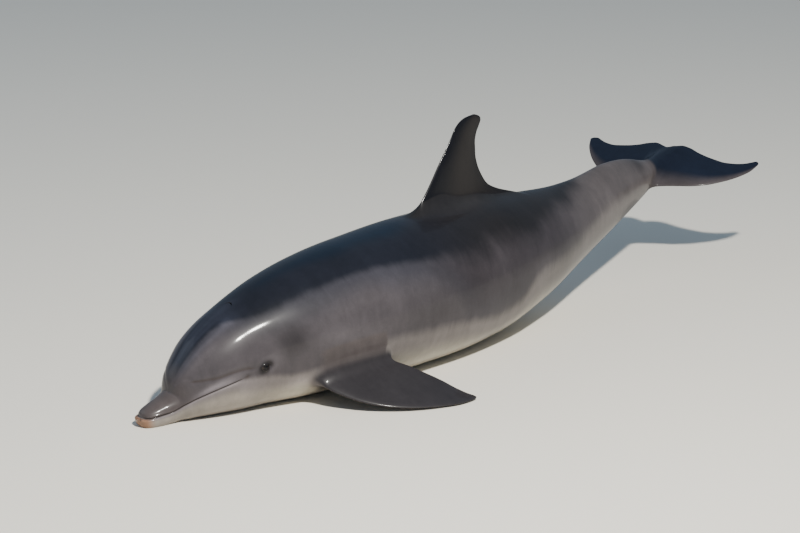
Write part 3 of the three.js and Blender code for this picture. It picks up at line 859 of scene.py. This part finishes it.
def makeLids(side):
    form = eyeForm
    centre, outward, back, up, radius = eyeSocket(side)
    station, margin, squash = form["station"], form["openingMargin"], form["squash"]
    reach = reachAt(station, eyeAngle)
    angleMargin = squash * margin / reach
    i0, i1 = ringNear(station - margin), ringNear(station + margin)
    top, bottom = rowsAround(i0, i1, eyeAngle - angleMargin, eyeAngle + angleMargin)
    loop = openCells(i0, i1, side * bottom, side * top)
    places = loopPlaces(loop)
    along = (places[:, 0] - station) / margin
    upward = -side * (places[:, 1] - side * eyeAngle) / angleMargin
    turn = np.arctan2(upward, along)          # 0 toward the tail, quarter turn up

    def oval(size):
        angle = side * (eyeAngle - squash * size * np.sin(turn) / reach)
        return np.stack([station + size * np.cos(turn), angle], 1)
    outer = oval(form["lidReach"])
    ids = patch(loop, outer, form["patchRings"])
    straight0, world0, toward = skinEdge(outer, oval(form["lidReach"] - 1))
    # the slit between the lids
    x = np.cos(turn) * form["openingHalfLength"]
    y = np.sin(turn) * form["openingHalfHeight"] * (1 - form["cornerPinch"] * np.cos(turn) ** 2)
    y = np.where(y > 0, y, y * form["lowerLid"])
    tilt = math.radians(form["tilt"])

    def onBall(distance, size):
        px = (x * math.cos(tilt) - y * math.sin(tilt)) * size
        py = (x * math.sin(tilt) + y * math.cos(tilt)) * size
        out = np.sqrt(np.maximum(distance ** 2 - px ** 2 - py ** 2, 1))
        return centre + px[:, None] * back + py[:, None] * up + out[:, None] * outward
    lidRadius = radius + form["lidThickness"] + form["lidGap"]
    world1, further = [onBall(lidRadius, size) for size in form["lidOverlap"]]
    straight1 = unbend(world1)
    span = lengths(world1 - world0)
    inward = unit(further - world1) * span * form["lidPull"]
    crease, roll = form["lidCrease"], form["lidRoll"]
    creaseDepth = crease["least"] + (1 - crease["least"]) * np.clip(np.sin(turn), 0, 1)
    for r in range(1, form["lidRings"] + 1):
        t = r / form["lidRings"]
        world = hermite(world0, toward * span, world1, inward, t)
        dent = creaseDepth * bump(t - crease["at"], crease["width"])
        dent = dent - roll["rise"] * bump(t - roll["at"], roll["width"])
        world = world - outward * (dent * ease(t / form["lidStart"]))[:, None]
        ids = skin.ring(ids, straight0 + (straight1 - straight0) * t, world=world)
    # the lid's edge rolls in to the ball, then a cup closes behind it, painted in the full shade of a fold
    for over, size, fold in form["lidEdge"]:
        ids = skin.ring(ids, straight1, world=onBall(radius + over, size), fold=fold)
    cupRadius = radius + form["cupGap"]
    flat = skin.world[-1] - centre
    start = np.arccos(np.clip(flat @ outward / cupRadius, -1, 1))
    flat = unit(flat - (flat @ outward)[:, None] * outward)
    for r in range(1, form["cupRings"]):
        lean = (start + (math.pi - start) * r / form["cupRings"])[:, None]
        cup = centre + cupRadius * (np.cos(lean) * outward + np.sin(lean) * flat)
        ids = skin.ring(ids, straight1, world=cup, fold=1)
    skin.fan(ids, straight1[0], world=[centre - outward * cupRadius])


blowholeForm = {
    "station": 362, "ahead": 24, "behind": 33, "rows": 7, "width": 30, "bow": 8, "gape": 3.4,
    "shadedDepth": 1.5,
    "rings": [  # distance outside the edge, rise, steps on the way there
        (15, 0.0, 5), (8, 0.1, 3), (3.6, 0.3, 3), (1.2, 0.4, 2), (0.25, 0.1, 1), (0, -0.6, 1),
        (-0.15, -2, 1), (-0.3, -6, 2)],
}


def makeBlowhole():
    form = blowholeForm
    station, rows = form["station"], form["rows"]
    i0, i1 = ringNear(station - form["ahead"]), ringNear(station + form["behind"])
    loop = openCells(i0, i1, -rows, rows)
    places = loopPlaces(loop)
    middle = (stations[i0] + stations[i1]) / 2
    along = (places[:, 0] - middle) / (stations[i1] - middle)
    across = places[:, 1] / np.abs(places[:, 1]).max()
    turn = np.arctan2(across, along)
    reach = reachAt(station, 0)

    def crescent(outside):
        share = np.sin(turn)
        side = (form["width"] / 2 + outside) * share
        bow = form["bow"] * (1 - share ** 2)
        lip = (form["gape"] / 2 + outside) * np.cos(turn)
        return np.stack([station + bow + lip, side / reach], 1)
    ids = loopIds(loop)
    last, lastRise = places, 0.0
    for outside, rise, steps in form["rings"]:
        edge = crescent(outside)
        for r in range(1, steps + 1):
            t = r / steps
            s, angle = (last + (edge - last) * t).T
            lifted = float(lastRise + (rise - lastRise) * ease(t))
            straight = skinStraight(s, angle)
            straight[:, 2] += lifted
            # the deeper a ring sinks, the more painted shade it gets
            ids = skin.ring(ids, straight, fold=min(max(-lifted / form["shadedDepth"], 0), 1))
        last, lastRise = edge, rise
    skin.fan(ids, skin.straight[-1].mean(0), fold=1)


makeDorsalFin()
print("dorsal fin grown")
for side in (-1, 1):
    makeFlipper(side)
    makeFluke(side)
    makeLids(side)
    print("flipper, fluke and lids grown,", "left" if side < 0 else "right")
makeBlowhole()
joinGrid()
closeSnout()
closeNotch()


# where the colours of the skin change: station, angle down from the back, and half width of a soft edge
markingForm = {
    "cape": [  # lower edge of the dark back
        [0, -40, 10], [100, -30, 8], [120, 4, 6], [140, 17, 4], [190, 17, 4], [250, 16, 4], [300, 19, 5],
        [340, 26, 5], [375, 34, 5], [420, 38, 5], [520, 40, 5.5], [700, 41, 4], [780, 44, 5], [900, 48, 5],
        [1000, 51, 7], [1080, 56, 13], [1180, 59, 15], [1300, 54, 16], [1450, 59, 16], [1550, 49, 17],
        [1650, 43, 18], [1750, 34, 20], [1850, 12, 22], [1950, -25, 20], [2600, -40, 20]],
    "pale": [  # upper edge of the pale belly, behind the mouth
        [300, 97, 5], [345, 101, 5], [450, 110, 4.5], [560, 108, 6], [700, 101, 6], [780, 100, 5],
        [900, 103, 5], [1060, 107, 5], [1220, 114, 6], [1320, 111, 7], [1400, 98, 8], [1500, 95, 9],
        [1700, 98, 12], [1850, 90, 20], [1960, 84, 26], [2120, 88, 26], [2250, 96, 24], [2600, 100, 24]],
    # ahead of the first span the pale jaw begins at the mouth, with a softer lower side
    "mouthBlend": (240, 80), "jawSlope": 0.3,
    "jawFront": 60, "frontLeast": -1.2, "shelfLeast": 4, "shelfEdge": 0.5,
    "spots": [  # station, angle, half length mm, half height degrees, lighter or darker
        [448, 74, 44, 14, -1.0], [590, 84, 60, 8, 0.25], [700, 92, 50, 6, 0.2], [1450, 90, 95, 9, 0.5],
        [395, 45, 40, 12, -0.7], [500, 52, 60, 10, -0.3], [200, 88, 52, 6, 1.4], [250, 91, 34, 7, 0.5],
        # at 225 and 240 the light lines high on the melon, at 322 and 345 the lighter crown: partly paler
        # skin, partly painted sheen of the sky
        [185, 104, 40, 8, -0.2], [225, 26, 70, 4, 0.5], [240, 9, 70, 4, 0.9], [215, 37, 45, 9, 0.35],
        [322, 19, 40, 10, 1.2], [345, 4, 45, 9, 0.4], [245, 104, 28, 8, -0.4], [335, 85, 26, 5, -0.4],
        [950, 88, 130, 20, -0.5], [1600, 110, 240, 16, -0.4], [1960, 12, 190, 32, -0.4],
        [1400, 20, 200, 25, -0.25], [322, 93, 26, 6, -0.2], [448, 121, 44, 9, 0.9],
        [2200, 14, 60, 26, -0.3], [2250, 18, 34, 30, -0.9], [1240, 12, 170, 9, 0.5],
        [240, 120, 60, 14, 0.2]],
    "flipperPatch": {"front": (480, 70), "rear": (719, 16), "top": (88, 9), "bottom": (130, 20)},
    # crownBand: partly paler skin, partly painted sheen of the sky along the crown of the head
    "crownBand": {"half": 6, "front": (120, 60), "rear": (310, 120), "shade": 1.0},
    "eyeRing": {"halfLength": 22, "halfHeight": 14.5, "lean": 24, "edge": (0.55, 0.8), "shade": -1.9},
    "eyeRim": {"at": 1.7, "width": 0.3, "shade": 0.2},
    "flukeLine": {"top": 2345, "side": 2322, "under": 2255, "fade": 85},
}


# signed places of the soft edges with the lightening or darkening of the spots, and the patches
def skinMarkings(straight):
    form = markingForm
    s = straight[:, 0]
    angle = np.degrees(np.arctan2(np.abs(straight[:, 1]), straight[:, 2] - axisHeight(s)))
    cape = (angle - curve(form["cape"], 1)(s)) / curve(form["cape"], 2)(s)
    behind = coming(s, form["mouthBlend"])
    paleAngle = np.degrees(mouthAngle(s)) * (1 - behind) + curve(form["pale"], 1)(s) * behind
    pale = (angle - paleAngle) / (1 + (curve(form["pale"], 2)(s) - 1) * behind)
    slope = form["jawSlope"] + (1 - form["jawSlope"]) * behind
    pale = np.where(pale > 1, 1 + (pale - 1) * slope, pale)
    # the shelf of the lower jaw ahead of the upper one stays light
    pale = np.where(s < form["jawFront"], np.maximum(pale, form["frontLeast"]), pale)
    shelf = s < mouthForm["lowerReach"] - form["shelfEdge"]
    pale = np.where(shelf, np.maximum(pale, form["shelfLeast"]), pale)
    spot = np.zeros(len(s))
    for station, middle, length, height, shade in form["spots"]:
        spot += shade * bump(s - station, length) * bump(angle - middle, height)
    # a lighter band along the crown of the head: partly its paler skin, partly painted sheen of the sky
    band = form["crownBand"]
    spot += band["shade"] * coming(s, band["front"]) * going(s, band["rear"]) * bump(angle, band["half"])
    ring, rim = form["eyeRing"], form["eyeRim"]
    lean = math.radians(ring["lean"])
    back = s - eyeForm["station"]
    down = (np.radians(angle) - eyeAngle) * plainReach(s, np.radians(angle))
    away = np.hypot((back * math.cos(lean) - down * math.sin(lean)) / ring["halfLength"],
                    (back * math.sin(lean) + down * math.cos(lean)) / ring["halfHeight"])
    spot += ring["shade"] * going(away, ring["edge"]) + rim["shade"] * bump(away - rim["at"], rim["width"])
    # 1 on the patch round the root of a flipper, 2 on the flukes
    patch = form["flipperPatch"]
    patches = coming(s, patch["front"]) * going(s, patch["rear"])
    patches *= coming(angle, patch["top"]) * going(angle, patch["bottom"])
    line = form["flukeLine"]
    lineAt = np.interp(angle, [0, 90, 180], [line["top"], line["side"], line["under"]])
    patches += 2 * ease((s - lineAt) / line["fade"] + 0.5)
    return np.stack([cape, pale, spot], 1), patches


def addObject(name, data):
    thing = bpy.data.objects.new(name, data)
    bpy.context.scene.collection.objects.link(thing)
    return thing


def makeSkinObject():
    mesh = bpy.data.meshes.new("skin")
    world = np.concatenate(skin.world) * metre
    mesh.from_pydata(world.tolist(), [], [tuple(int(v) for v in face) for face in skin.faces])
    straight = np.concatenate(skin.straight)
    markings, patches = skinMarkings(straight)
    layers = {"straight": straight * metre, "limb": np.concatenate(skin.limb), "markings": markings,
              "fold": np.concatenate(skin.fold), "patches": patches}
    for name, values in layers.items():
        kind, field = ("FLOAT_VECTOR", "vector") if values.ndim == 2 else ("FLOAT", "value")
        layer = mesh.attributes.new(name, kind, "POINT")
        layer.data.foreach_set(field, values.astype(np.float32).ravel())
    print("skin coloured")
    solid = bmesh.new()
    solid.from_mesh(mesh)
    openEdges = sum(1 for edge in solid.edges if len(edge.link_faces) != 2)
    bmesh.ops.recalc_face_normals(solid, faces=solid.faces)
    volume = solid.calc_volume(signed=True)
    if volume < 0:
        bmesh.ops.reverse_faces(solid, faces=solid.faces)
    solid.to_mesh(mesh)
    solid.free()
    mesh.polygons.foreach_set("use_smooth", [True] * len(mesh.polygons))
    mesh.update()
    print("skin", len(mesh.vertices), "vertices,", sum(len(p.vertices) - 2 for p in mesh.polygons),
          "triangles, open edges", openEdges, "volume", round(abs(volume), 4))
    return addObject("dolphin_skin", mesh)


skinPiece = makeSkinObject()
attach(skinPiece, "root")
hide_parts(*[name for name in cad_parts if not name.startswith("eye_")])


# short words for growing a tree of nodes
class Nodes:
    def __init__(self, tree):
        self.tree = tree

    def feed(self, socket, thing):
        if isinstance(thing, bpy.types.NodeSocket):
            self.tree.links.new(thing, socket)
        elif isinstance(thing, tuple) and len(socket.default_value) == 4:
            socket.default_value = (*thing, 1)
        else:
            socket.default_value = thing

    # the outputs of a new node, its sockets fed by name or number
    def new(self, kind, things=None, **settings):
        node = self.tree.nodes.new(kind)
        for name, value in settings.items():
            setattr(node, name, value)
        for socket, thing in (things or {}).items():
            self.feed(node.inputs[socket], thing)
        return node.outputs

    def maths(self, operation, *things):
        return self.new("ShaderNodeMath", dict(enumerate(things)), operation=operation)[0]

    def plus(self, first, second):
        return self.maths("ADD", first, second)

    def times(self, first, second):
        return self.maths("MULTIPLY", first, second)

    # the sum of (thing, weight) pairs
    def weighed(self, *pairs):
        total = 0.0
        for thing, weight in pairs:
            total = self.maths("MULTIPLY_ADD", thing, weight, total)
        return total

    # 0 before the first place, 1 after the second, smooth between
    def step(self, thing, first, second):
        low, high, start, stop = (first, second, 0, 1) if first < second else (second, first, 1, 0)
        things = {"Value": thing, "From Min": low, "From Max": high, "To Min": start, "To Max": stop}
        return self.new("ShaderNodeMapRange", things, interpolation_type="SMOOTHSTEP")[0]

    def split(self, vector):
        return self.new("ShaderNodeSeparateXYZ", {0: vector})


class Paint(Nodes):
    def __init__(self, name):
        self.material = bpy.data.materials.new(name)
        self.material.use_nodes = True
        super().__init__(self.material.node_tree)
        self.shader = self.tree.nodes["Principled BSDF"]

    def finish(self, things):
        for name, thing in things.items():
            self.feed(self.shader.inputs[name], thing)

    def mix(self, share, first, second):
        return self.new("ShaderNodeMix", {0: share, 6: first, 7: second}, data_type="RGBA")[2]

    def scaled(self, colour, strength):
        return self.new("ShaderNodeVectorMath", {0: colour, "Scale": strength}, operation="SCALE")[0]

    def attribute(self, name, output="Vector"):
        return self.new("ShaderNodeAttribute", attribute_name=name)[output]

    def stretched(self, vector, scale):
        return self.new("ShaderNodeMapping", {"Vector": vector, "Scale": scale})[0]

    def noise(self, vector, scale, detail, roughness, warp=0):
        things = {"Vector": vector, "Scale": scale, "Detail": detail, "Roughness": roughness}
        return self.new("ShaderNodeTexNoise", {**things, "Distortion": warp})["Fac"]

    def raised(self, height, strength, distance, under=None):
        things = {"Strength": strength, "Distance": distance, "Height": height}
        if under is not None:
            things["Normal"] = under
        return self.new("ShaderNodeBump", things)[0]


skinShades = {
    # cape: the dark back's own colour, its blue tint partly a painted reflection of the sky
    "cape": (0.0095, 0.0105, 0.0155), "capeRear": (0.0130, 0.0115, 0.0120),
    # ridge: the back's darkest colour along its top, tinted blue as a painted reflection of the sky and pool
    "ridge": (0.0045, 0.0080, 0.0155), "flankHigh": (0.036, 0.0345, 0.042), "flankLow": (0.061, 0.054, 0.058),
    "flankRear": (0.035, 0.030, 0.033), "tail": (0.085, 0.074, 0.074),
    "pale": (0.145, 0.128, 0.122), "belly": (0.34, 0.31, 0.255), "chin": (0.235, 0.210, 0.185),
    "jaw": (0.168, 0.148, 0.151), "beak": (0.066, 0.055, 0.054), "tip": (0.24, 0.125, 0.07),
    # fold and groove: painted shade in the mouth's gap, the lip groove, the eye cups and the blowhole
    "fold": (0.012, 0.008, 0.008), "groove": (0.040, 0.030, 0.026), "patch": (0.064, 0.054, 0.054),
    "fin": (0.0055, 0.0057, 0.0077), "finMiddle": (0.0128, 0.0109, 0.0110),
    # fluke: the flukes' dark grey, tinted blue as a painted reflection of the sky
    "finBase": (0.0160, 0.0150, 0.0155), "fluke": (0.0070, 0.0095, 0.0180),
    "flukeEdge": (0.050, 0.043, 0.045), "flipper": (0.0255, 0.0230, 0.0250), "under": (0.085, 0.075, 0.075),
}

# from none of a shade to all of it: stations in metres, places across the cape and the pale belly in half
# widths of their edges, shares of a chord, kinds of limb (fin 0, flukes 1, flippers 2) with a share out
skinZones = {
    "edge": (-1, 1), "low": (0.5, 6), "flankRear": (0.86, 1.12), "underCape": (4.5, 1), "tail": (1.5, 1.95),
    "capeRear": (0.85, 1.3), "ridge": (-4.5, -9), "ridgeFront": (0.41, 0.5), "ridgeRear": (1.16, 1.0),
    "beak": (0.17, 0.09), "jawRear": (0.2, 0.42), "bellyFront": (0.30, 0.46), "belly": (1.5, 6),
    "tip": (0.042, 0.012), "tipUnder": (-0.5, 1), "patch": (0.15, 0.85), "flukePatch": (1.1, 1.9),
    "finMiddle": (0.5, 0.08), "finBase": (0.62, 0.2), "flukeEdge": (0.38, 0.0),
    "fluke": (0.995, 1.0), "flipper": (1.995, 2.0), "under": (0.0, -0.6), "pastFin": (1.15, 1.3),
    "limb": (0.02, 0.5), "groove": (0.02, 0.34), "fold": (0.35, 0.85),
}

# noises (scale, detail, roughness, warp), and how far each of them pushes an edge or a shade
skinPatterns = {
    "cloud": (5.5, 4, 0.55), "streak": (1, 5, 0.62, 0.6), "mottle": (38, 4, 0.6), "grain": (210, 3, 0.6),
    "streakStretch": (22, 6, 6), "ragged": (1.2, 1.1), "paleRagged": 0.7, "patchRagged": 0.25,
    "tipRagged": 0.03, "tipShare": 0.85, "finLine": 0.68, "grooveShare": 0.6,
    "uneven": {"mottle": 0.5, "grain": 0.25, "cloud": 0.9, "streak": 0.7},
    "roughness": (0.34, 0.12), "ripples": (0.18, 0.0012), "pores": (0.12, 0.0006),
}
skinFinish = {
    "IOR": 1.36, "Specular IOR Level": 0.16, "Coat Weight": 0.27, "Coat Roughness": 0.1, "Coat IOR": 1.33,
}


# lays one shade of the skin over a colour
def overlay(paint, share, colour, name):
    return paint.mix(share, colour, skinShades[name])


# how far into a zone a place is
def zone(paint, thing, name):
    return paint.step(thing, *skinZones[name])


# the clouds, streaks and mottle that break up the edges, each about zero
def skinNoises(paint, straight):
    form = skinPatterns
    place = paint.new("ShaderNodeTexCoord")["Object"]
    stretched = paint.stretched(straight, form["streakStretch"])
    noises = {name: paint.noise(place, *form[name]) for name in ("cloud", "mottle", "grain")}
    noises["streak"] = paint.noise(stretched, *form["streak"])
    return noises, {name: paint.maths("SUBTRACT", noise, 0.5) for name, noise in noises.items()}


def bodyColour(paint, station, about):
    form, shades = skinPatterns, skinShades
    cape, pale, _ = paint.split(paint.attribute("markings"))
    patches = paint.attribute("patches", "Fac")
    ragged = paint.weighed((about["cloud"], form["ragged"][0]), (about["streak"], form["ragged"][1]))
    # dark back and flank, cooler under the cape, browner low down and toward the tail
    flank = paint.mix(zone(paint, cape, "low"), shades["flankHigh"], shades["flankLow"])
    rear = paint.times(zone(paint, station, "flankRear"), zone(paint, cape, "underCape"))
    flank = overlay(paint, rear, flank, "flankRear")
    flank = overlay(paint, zone(paint, station, "tail"), flank, "tail")
    dark = paint.mix(zone(paint, station, "capeRear"), shades["cape"], shades["capeRear"])
    # along the top of the back, from the melon to past the fin: the darkest back, its blue a painted
    # reflection of the sky and pool
    ridge = paint.times(zone(paint, cape, "ridge"), zone(paint, station, "ridgeFront"))
    dark = overlay(paint, paint.times(ridge, zone(paint, station, "ridgeRear")), dark, "ridge")
    colour = paint.mix(zone(paint, paint.plus(cape, ragged), "edge"), dark, flank)
    colour = overlay(paint, zone(paint, station, "beak"), colour, "beak")
    # jaw and belly
    jaw = paint.mix(zone(paint, station, "jawRear"), shades["jaw"], shades["pale"])
    onPale = zone(paint, paint.weighed((pale, 1), (ragged, form["paleRagged"])), "edge")
    colour = paint.mix(onPale, colour, jaw)
    belly = paint.mix(zone(paint, station, "bellyFront"), shades["chin"], shades["belly"])
    colour = paint.mix(zone(paint, pale, "belly"), colour, belly)
    tip = zone(paint, paint.weighed((station, 1), (about["cloud"], form["tipRagged"])), "tip")
    tip = paint.times(paint.times(tip, form["tipShare"]), zone(paint, pale, "tipUnder"))
    colour = overlay(paint, tip, colour, "tip")
    onPatch = zone(paint, paint.weighed((patches, 1), (ragged, form["patchRagged"])), "patch")
    colour = overlay(paint, onPatch, colour, "patch")
    # the tail stock past the fluke line takes the flukes' shade, with its painted blue reflection
    return overlay(paint, zone(paint, patches, "flukePatch"), colour, "fluke")


def limbColour(paint, kind, chord):
    shades = skinShades
    facing = paint.split(paint.new("ShaderNodeNewGeometry")["Normal"])[2]
    fromLine = paint.maths("ABSOLUTE", paint.maths("SUBTRACT", chord, skinPatterns["finLine"]))
    fin = paint.mix(zone(paint, fromLine, "finMiddle"), shades["fin"], shades["finMiddle"])
    # lighter toward the fin's base: painted light that lifts the shade where the fin's concave foot meets the
    # back
    fin = overlay(paint, zone(paint, kind, "finBase"), fin, "finBase")
    # the flukes' shade carries a painted blue reflection of the sky
    fluke = paint.mix(zone(paint, chord, "flukeEdge"), shades["fluke"], shades["flukeEdge"])
    limb = paint.mix(zone(paint, kind, "fluke"), fin, fluke)
    limb = overlay(paint, zone(paint, kind, "flipper"), limb, "flipper")
    beneath = paint.times(zone(paint, facing, "under"), zone(paint, kind, "pastFin"))
    return overlay(paint, beneath, limb, "under")


def makeSkinMaterial():
    form = skinPatterns
    paint = Paint("wet_dolphin_skin")
    straight = paint.attribute("straight")
    station = paint.split(straight)[0]
    kind, chord, onLimb = paint.split(paint.attribute("limb"))
    noises, about = skinNoises(paint, straight)
    colour = bodyColour(paint, station, about)
    colour = paint.mix(zone(paint, onLimb, "limb"), colour, limbColour(paint, kind, chord))
    # lighter and darker spots, with a fine unevenness everywhere
    spot = paint.split(paint.attribute("markings"))[2]
    uneven = paint.weighed(*[(about[name], weight) for name, weight in form["uneven"].items()])
    colour = paint.scaled(colour, paint.maths("POWER", 2.0, paint.plus(spot, uneven)))
    # painted shade from the fold attribute: brownish where a fold is shallow, near black where it is deep
    fold = paint.attribute("fold", "Fac")
    groove = paint.times(zone(paint, fold, "groove"), form["grooveShare"])
    colour = overlay(paint, groove, colour, "groove")
    colour = overlay(paint, zone(paint, fold, "fold"), colour, "fold")
    least, more = form["roughness"]
    rough = paint.maths("MULTIPLY_ADD", noises["mottle"], more, least)
    ripples = paint.raised(noises["streak"], *form["ripples"])
    pores = paint.raised(noises["grain"], *form["pores"], ripples)
    paint.finish({"Base Color": colour, "Roughness": rough, "Normal": pores, **skinFinish})
    return paint.material


skinPiece.data.materials.append(makeSkinMaterial())


# eyes: one tree swells the clear front of a ball, marks its pupil, and stands it in the socket
eyeballForm = {
    "segments": 64, "rings": 48, "clearRadius": 0.62, "clearRise": 0.09,
    "pupilLong": 0.40, "pupilTall": 0.27,
}


def makeEyeTree():
    tree = bpy.data.node_groups.new("eyeball", "GeometryNodeTree")
    kinds = {"Geometry": "Geometry", "Radius": "Float", "Clear Share": "Float", "Clear Rise": "Float",
             "Place": "Vector", "Turn": "Vector", "Finish": "Material"}
    for name, kind in kinds.items():
        tree.interface.new_socket(name, in_out="INPUT", socket_type="NodeSocket" + kind)
    tree.interface.new_socket("Geometry", in_out="OUTPUT", socket_type="NodeSocketGeometry")
    grow = Nodes(tree)
    given = grow.new("NodeGroupInput")
    radius = given["Radius"]
    ball = {"Segments": eyeballForm["segments"], "Rings": eyeballForm["rings"], "Radius": radius}
    mesh = grow.new("GeometryNodeMeshUVSphere", ball)["Mesh"]
    place = grow.split(grow.new("GeometryNodeInputPosition")[0])
    x, y, z = [grow.maths("DIVIDE", part, radius) for part in place]
    away = grow.maths("SQRT", grow.weighed((x, x), (y, y)))
    things = {"Value": away, "From Min": 0, "From Max": given["Clear Share"], "To Min": 1, "To Max": 0}
    inside = grow.new("ShaderNodeMapRange", things, interpolation_type="SMOOTHSTEP")[0]
    rise = grow.times(grow.times(inside, grow.maths("GREATER_THAN", place[2], 0.0)),
                      grow.times(given["Clear Rise"], radius))
    disc = grow.new("ShaderNodeCombineXYZ", {0: x, 1: y, 2: z})[0]
    stored = {"Geometry": mesh, "Name": "disc", "Value": disc}
    mesh = grow.new("GeometryNodeStoreNamedAttribute", stored, data_type="FLOAT_VECTOR", domain="POINT")[0]
    shift = grow.new("ShaderNodeCombineXYZ", {2: rise})[0]
    mesh = grow.new("GeometryNodeSetPosition", {"Geometry": mesh, "Offset": shift})[0]
    mesh = grow.new("GeometryNodeSetShadeSmooth", {"Geometry": mesh})[0]
    stand = {"Geometry": mesh, "Translation": given["Place"], "Rotation": given["Turn"]}
    mesh = grow.new("GeometryNodeTransform", stand)[0]
    mesh = grow.new("GeometryNodeRealizeInstances", {0: mesh})[0]
    mesh = grow.new("GeometryNodeSetMaterial", {"Geometry": mesh, "Material": given["Finish"]})[0]
    grow.new("NodeGroupOutput", {0: mesh})
    return tree


eyeShades = {
    "iris": (0.014, 0.0115, 0.0105), "ring": (0.006, 0.005, 0.005), "white": (0.040, 0.030, 0.026),
    "pupil": (0.002, 0.002, 0.003),
    "whiteEdge": (0.60, 0.68), "pupilEdge": (0.9, 1.15),       # from one shade to the next
    "fibres": (1.6, 5, 0.7), "stretch": (9, 9, 9), "roughness": (0.16, 0.06),
}
eyeFinish = {"Specular IOR Level": 0.16, "Coat Weight": 0.2, "Coat Roughness": 0.06}


def makeEyeMaterial():
    shades = eyeShades
    paint = Paint("dark_glossy_eye")
    disc = paint.attribute("disc")
    x, y, _ = paint.split(disc)
    away = paint.maths("SQRT", paint.weighed((x, x), (y, y)))
    fibres = paint.noise(paint.stretched(disc, shades["stretch"]), *shades["fibres"])
    iris = paint.mix(fibres, shades["ring"], shades["iris"])
    colour = paint.mix(paint.step(away, *shades["whiteEdge"]), iris, shades["white"])
    wide = paint.maths("DIVIDE", x, eyeballForm["pupilLong"])
    tall = paint.maths("DIVIDE", y, eyeballForm["pupilTall"])
    pupil = paint.step(paint.weighed((wide, wide), (tall, tall)), *shades["pupilEdge"])
    colour = paint.mix(pupil, shades["pupil"], colour)
    least, more = shades["roughness"]
    rough = paint.maths("MULTIPLY_ADD", fibres, more, least)
    paint.finish({"Base Color": colour, "Roughness": rough, **eyeFinish})
    return paint.material


def makeEyes():
    tree = makeEyeTree()
    gloss = makeEyeMaterial()
    sockets = {item.name: item.identifier for item in tree.interface.items_tree if item.in_out == "INPUT"}
    for side, node in ((-1, "eye_left"), (1, "eye_right")):
        centre, outward, back, up, radius = eyeSocket(side)
        holder = addObject(node + "_maker", bpy.data.meshes.new("empty"))
        modifier = holder.modifiers.new("eyeball", "NODES")
        modifier.node_group = tree
        turn = Matrix((back, np.cross(outward, back), outward)).transposed().to_euler()
        values = {"Radius": radius * metre, "Clear Share": eyeballForm["clearRadius"],
                  "Clear Rise": eyeballForm["clearRise"], "Place": tuple(centre * metre),
                  "Turn": tuple(turn), "Finish": gloss}
        for name, value in values.items():
            modifier[sockets[name]] = value
        bpy.context.view_layer.update()
        seen = holder.evaluated_get(bpy.context.evaluated_depsgraph_get())
        mesh = bpy.data.meshes.new_from_object(seen)
        holder.modifiers.remove(modifier)
        bpy.data.objects.remove(holder)
        piece = addObject("eyeball_" + ("left" if side < 0 else "right"), mesh)
        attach(piece, "root")
        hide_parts(node)
        print(piece.name, len(mesh.vertices), "vertices")


makeEyes()


stageForm = {
    "floor": (0.80, 0.76, 0.67), "floorRoughness": 0.7, "floorSize": 60,
    "air": (0.56, 0.75, 1.0), "airStrength": 0.35,
    "sun": {"at": (-1.85, -3.9, 5.3), "size": 0.35, "power": 810, "colour": (1, 0.97, 0.91)},
    "fill": {"at": (-3.5, 5.5, 3.0), "size": 4.5, "power": 80, "colour": (0.80, 0.90, 1.0)},
}


# stands a light or camera at one place, facing another
def aimed(name, data, at, aim):
    thing = addObject(name, data)
    thing.location = at
    thing.rotation_mode = "QUATERNION"
    thing.rotation_quaternion = (Vector(aim) - Vector(at)).to_track_quat("-Z", "Y")
    return thing


def makeLight(name, form):
    data = bpy.data.lights.new(name, "AREA")
    data.energy = form["power"]
    data.size = form["size"]
    data.color = form["colour"]
    aimed(name, data, form["at"], (0, 0, 0))


def makeStage():
    bpy.ops.mesh.primitive_plane_add(size=stageForm["floorSize"], location=(0, 0, 0))
    floor = bpy.context.object
    floor.name = "studio_floor"
    paint = Paint("pale_floor")
    paint.finish({"Base Color": stageForm["floor"], "Roughness": stageForm["floorRoughness"]})
    floor.data.materials.append(paint.material)
    world = bpy.context.scene.world or bpy.data.worlds.new("studio")
    bpy.context.scene.world = world
    world.use_nodes = True
    background = world.node_tree.nodes["Background"]
    background.inputs["Color"].default_value = (*stageForm["air"], 1)
    background.inputs["Strength"].default_value = stageForm["airStrength"]
    makeLight("sun", stageForm["sun"])
    makeLight("fill", stageForm["fill"])


cameraForm = {"lens": 156.9, "sensor": 36, "eye": (-7.100, -6.656, 3.029), "aim": (0.064, -0.037, 0.295)}


def makeCamera():
    data = bpy.data.cameras.new("camera")
    data.lens = cameraForm["lens"]
    data.sensor_width = cameraForm["sensor"]
    bpy.context.scene.camera = aimed("camera", data, cameraForm["eye"], cameraForm["aim"])


makeStage()
makeCamera()
print("floor, lights and camera placed")
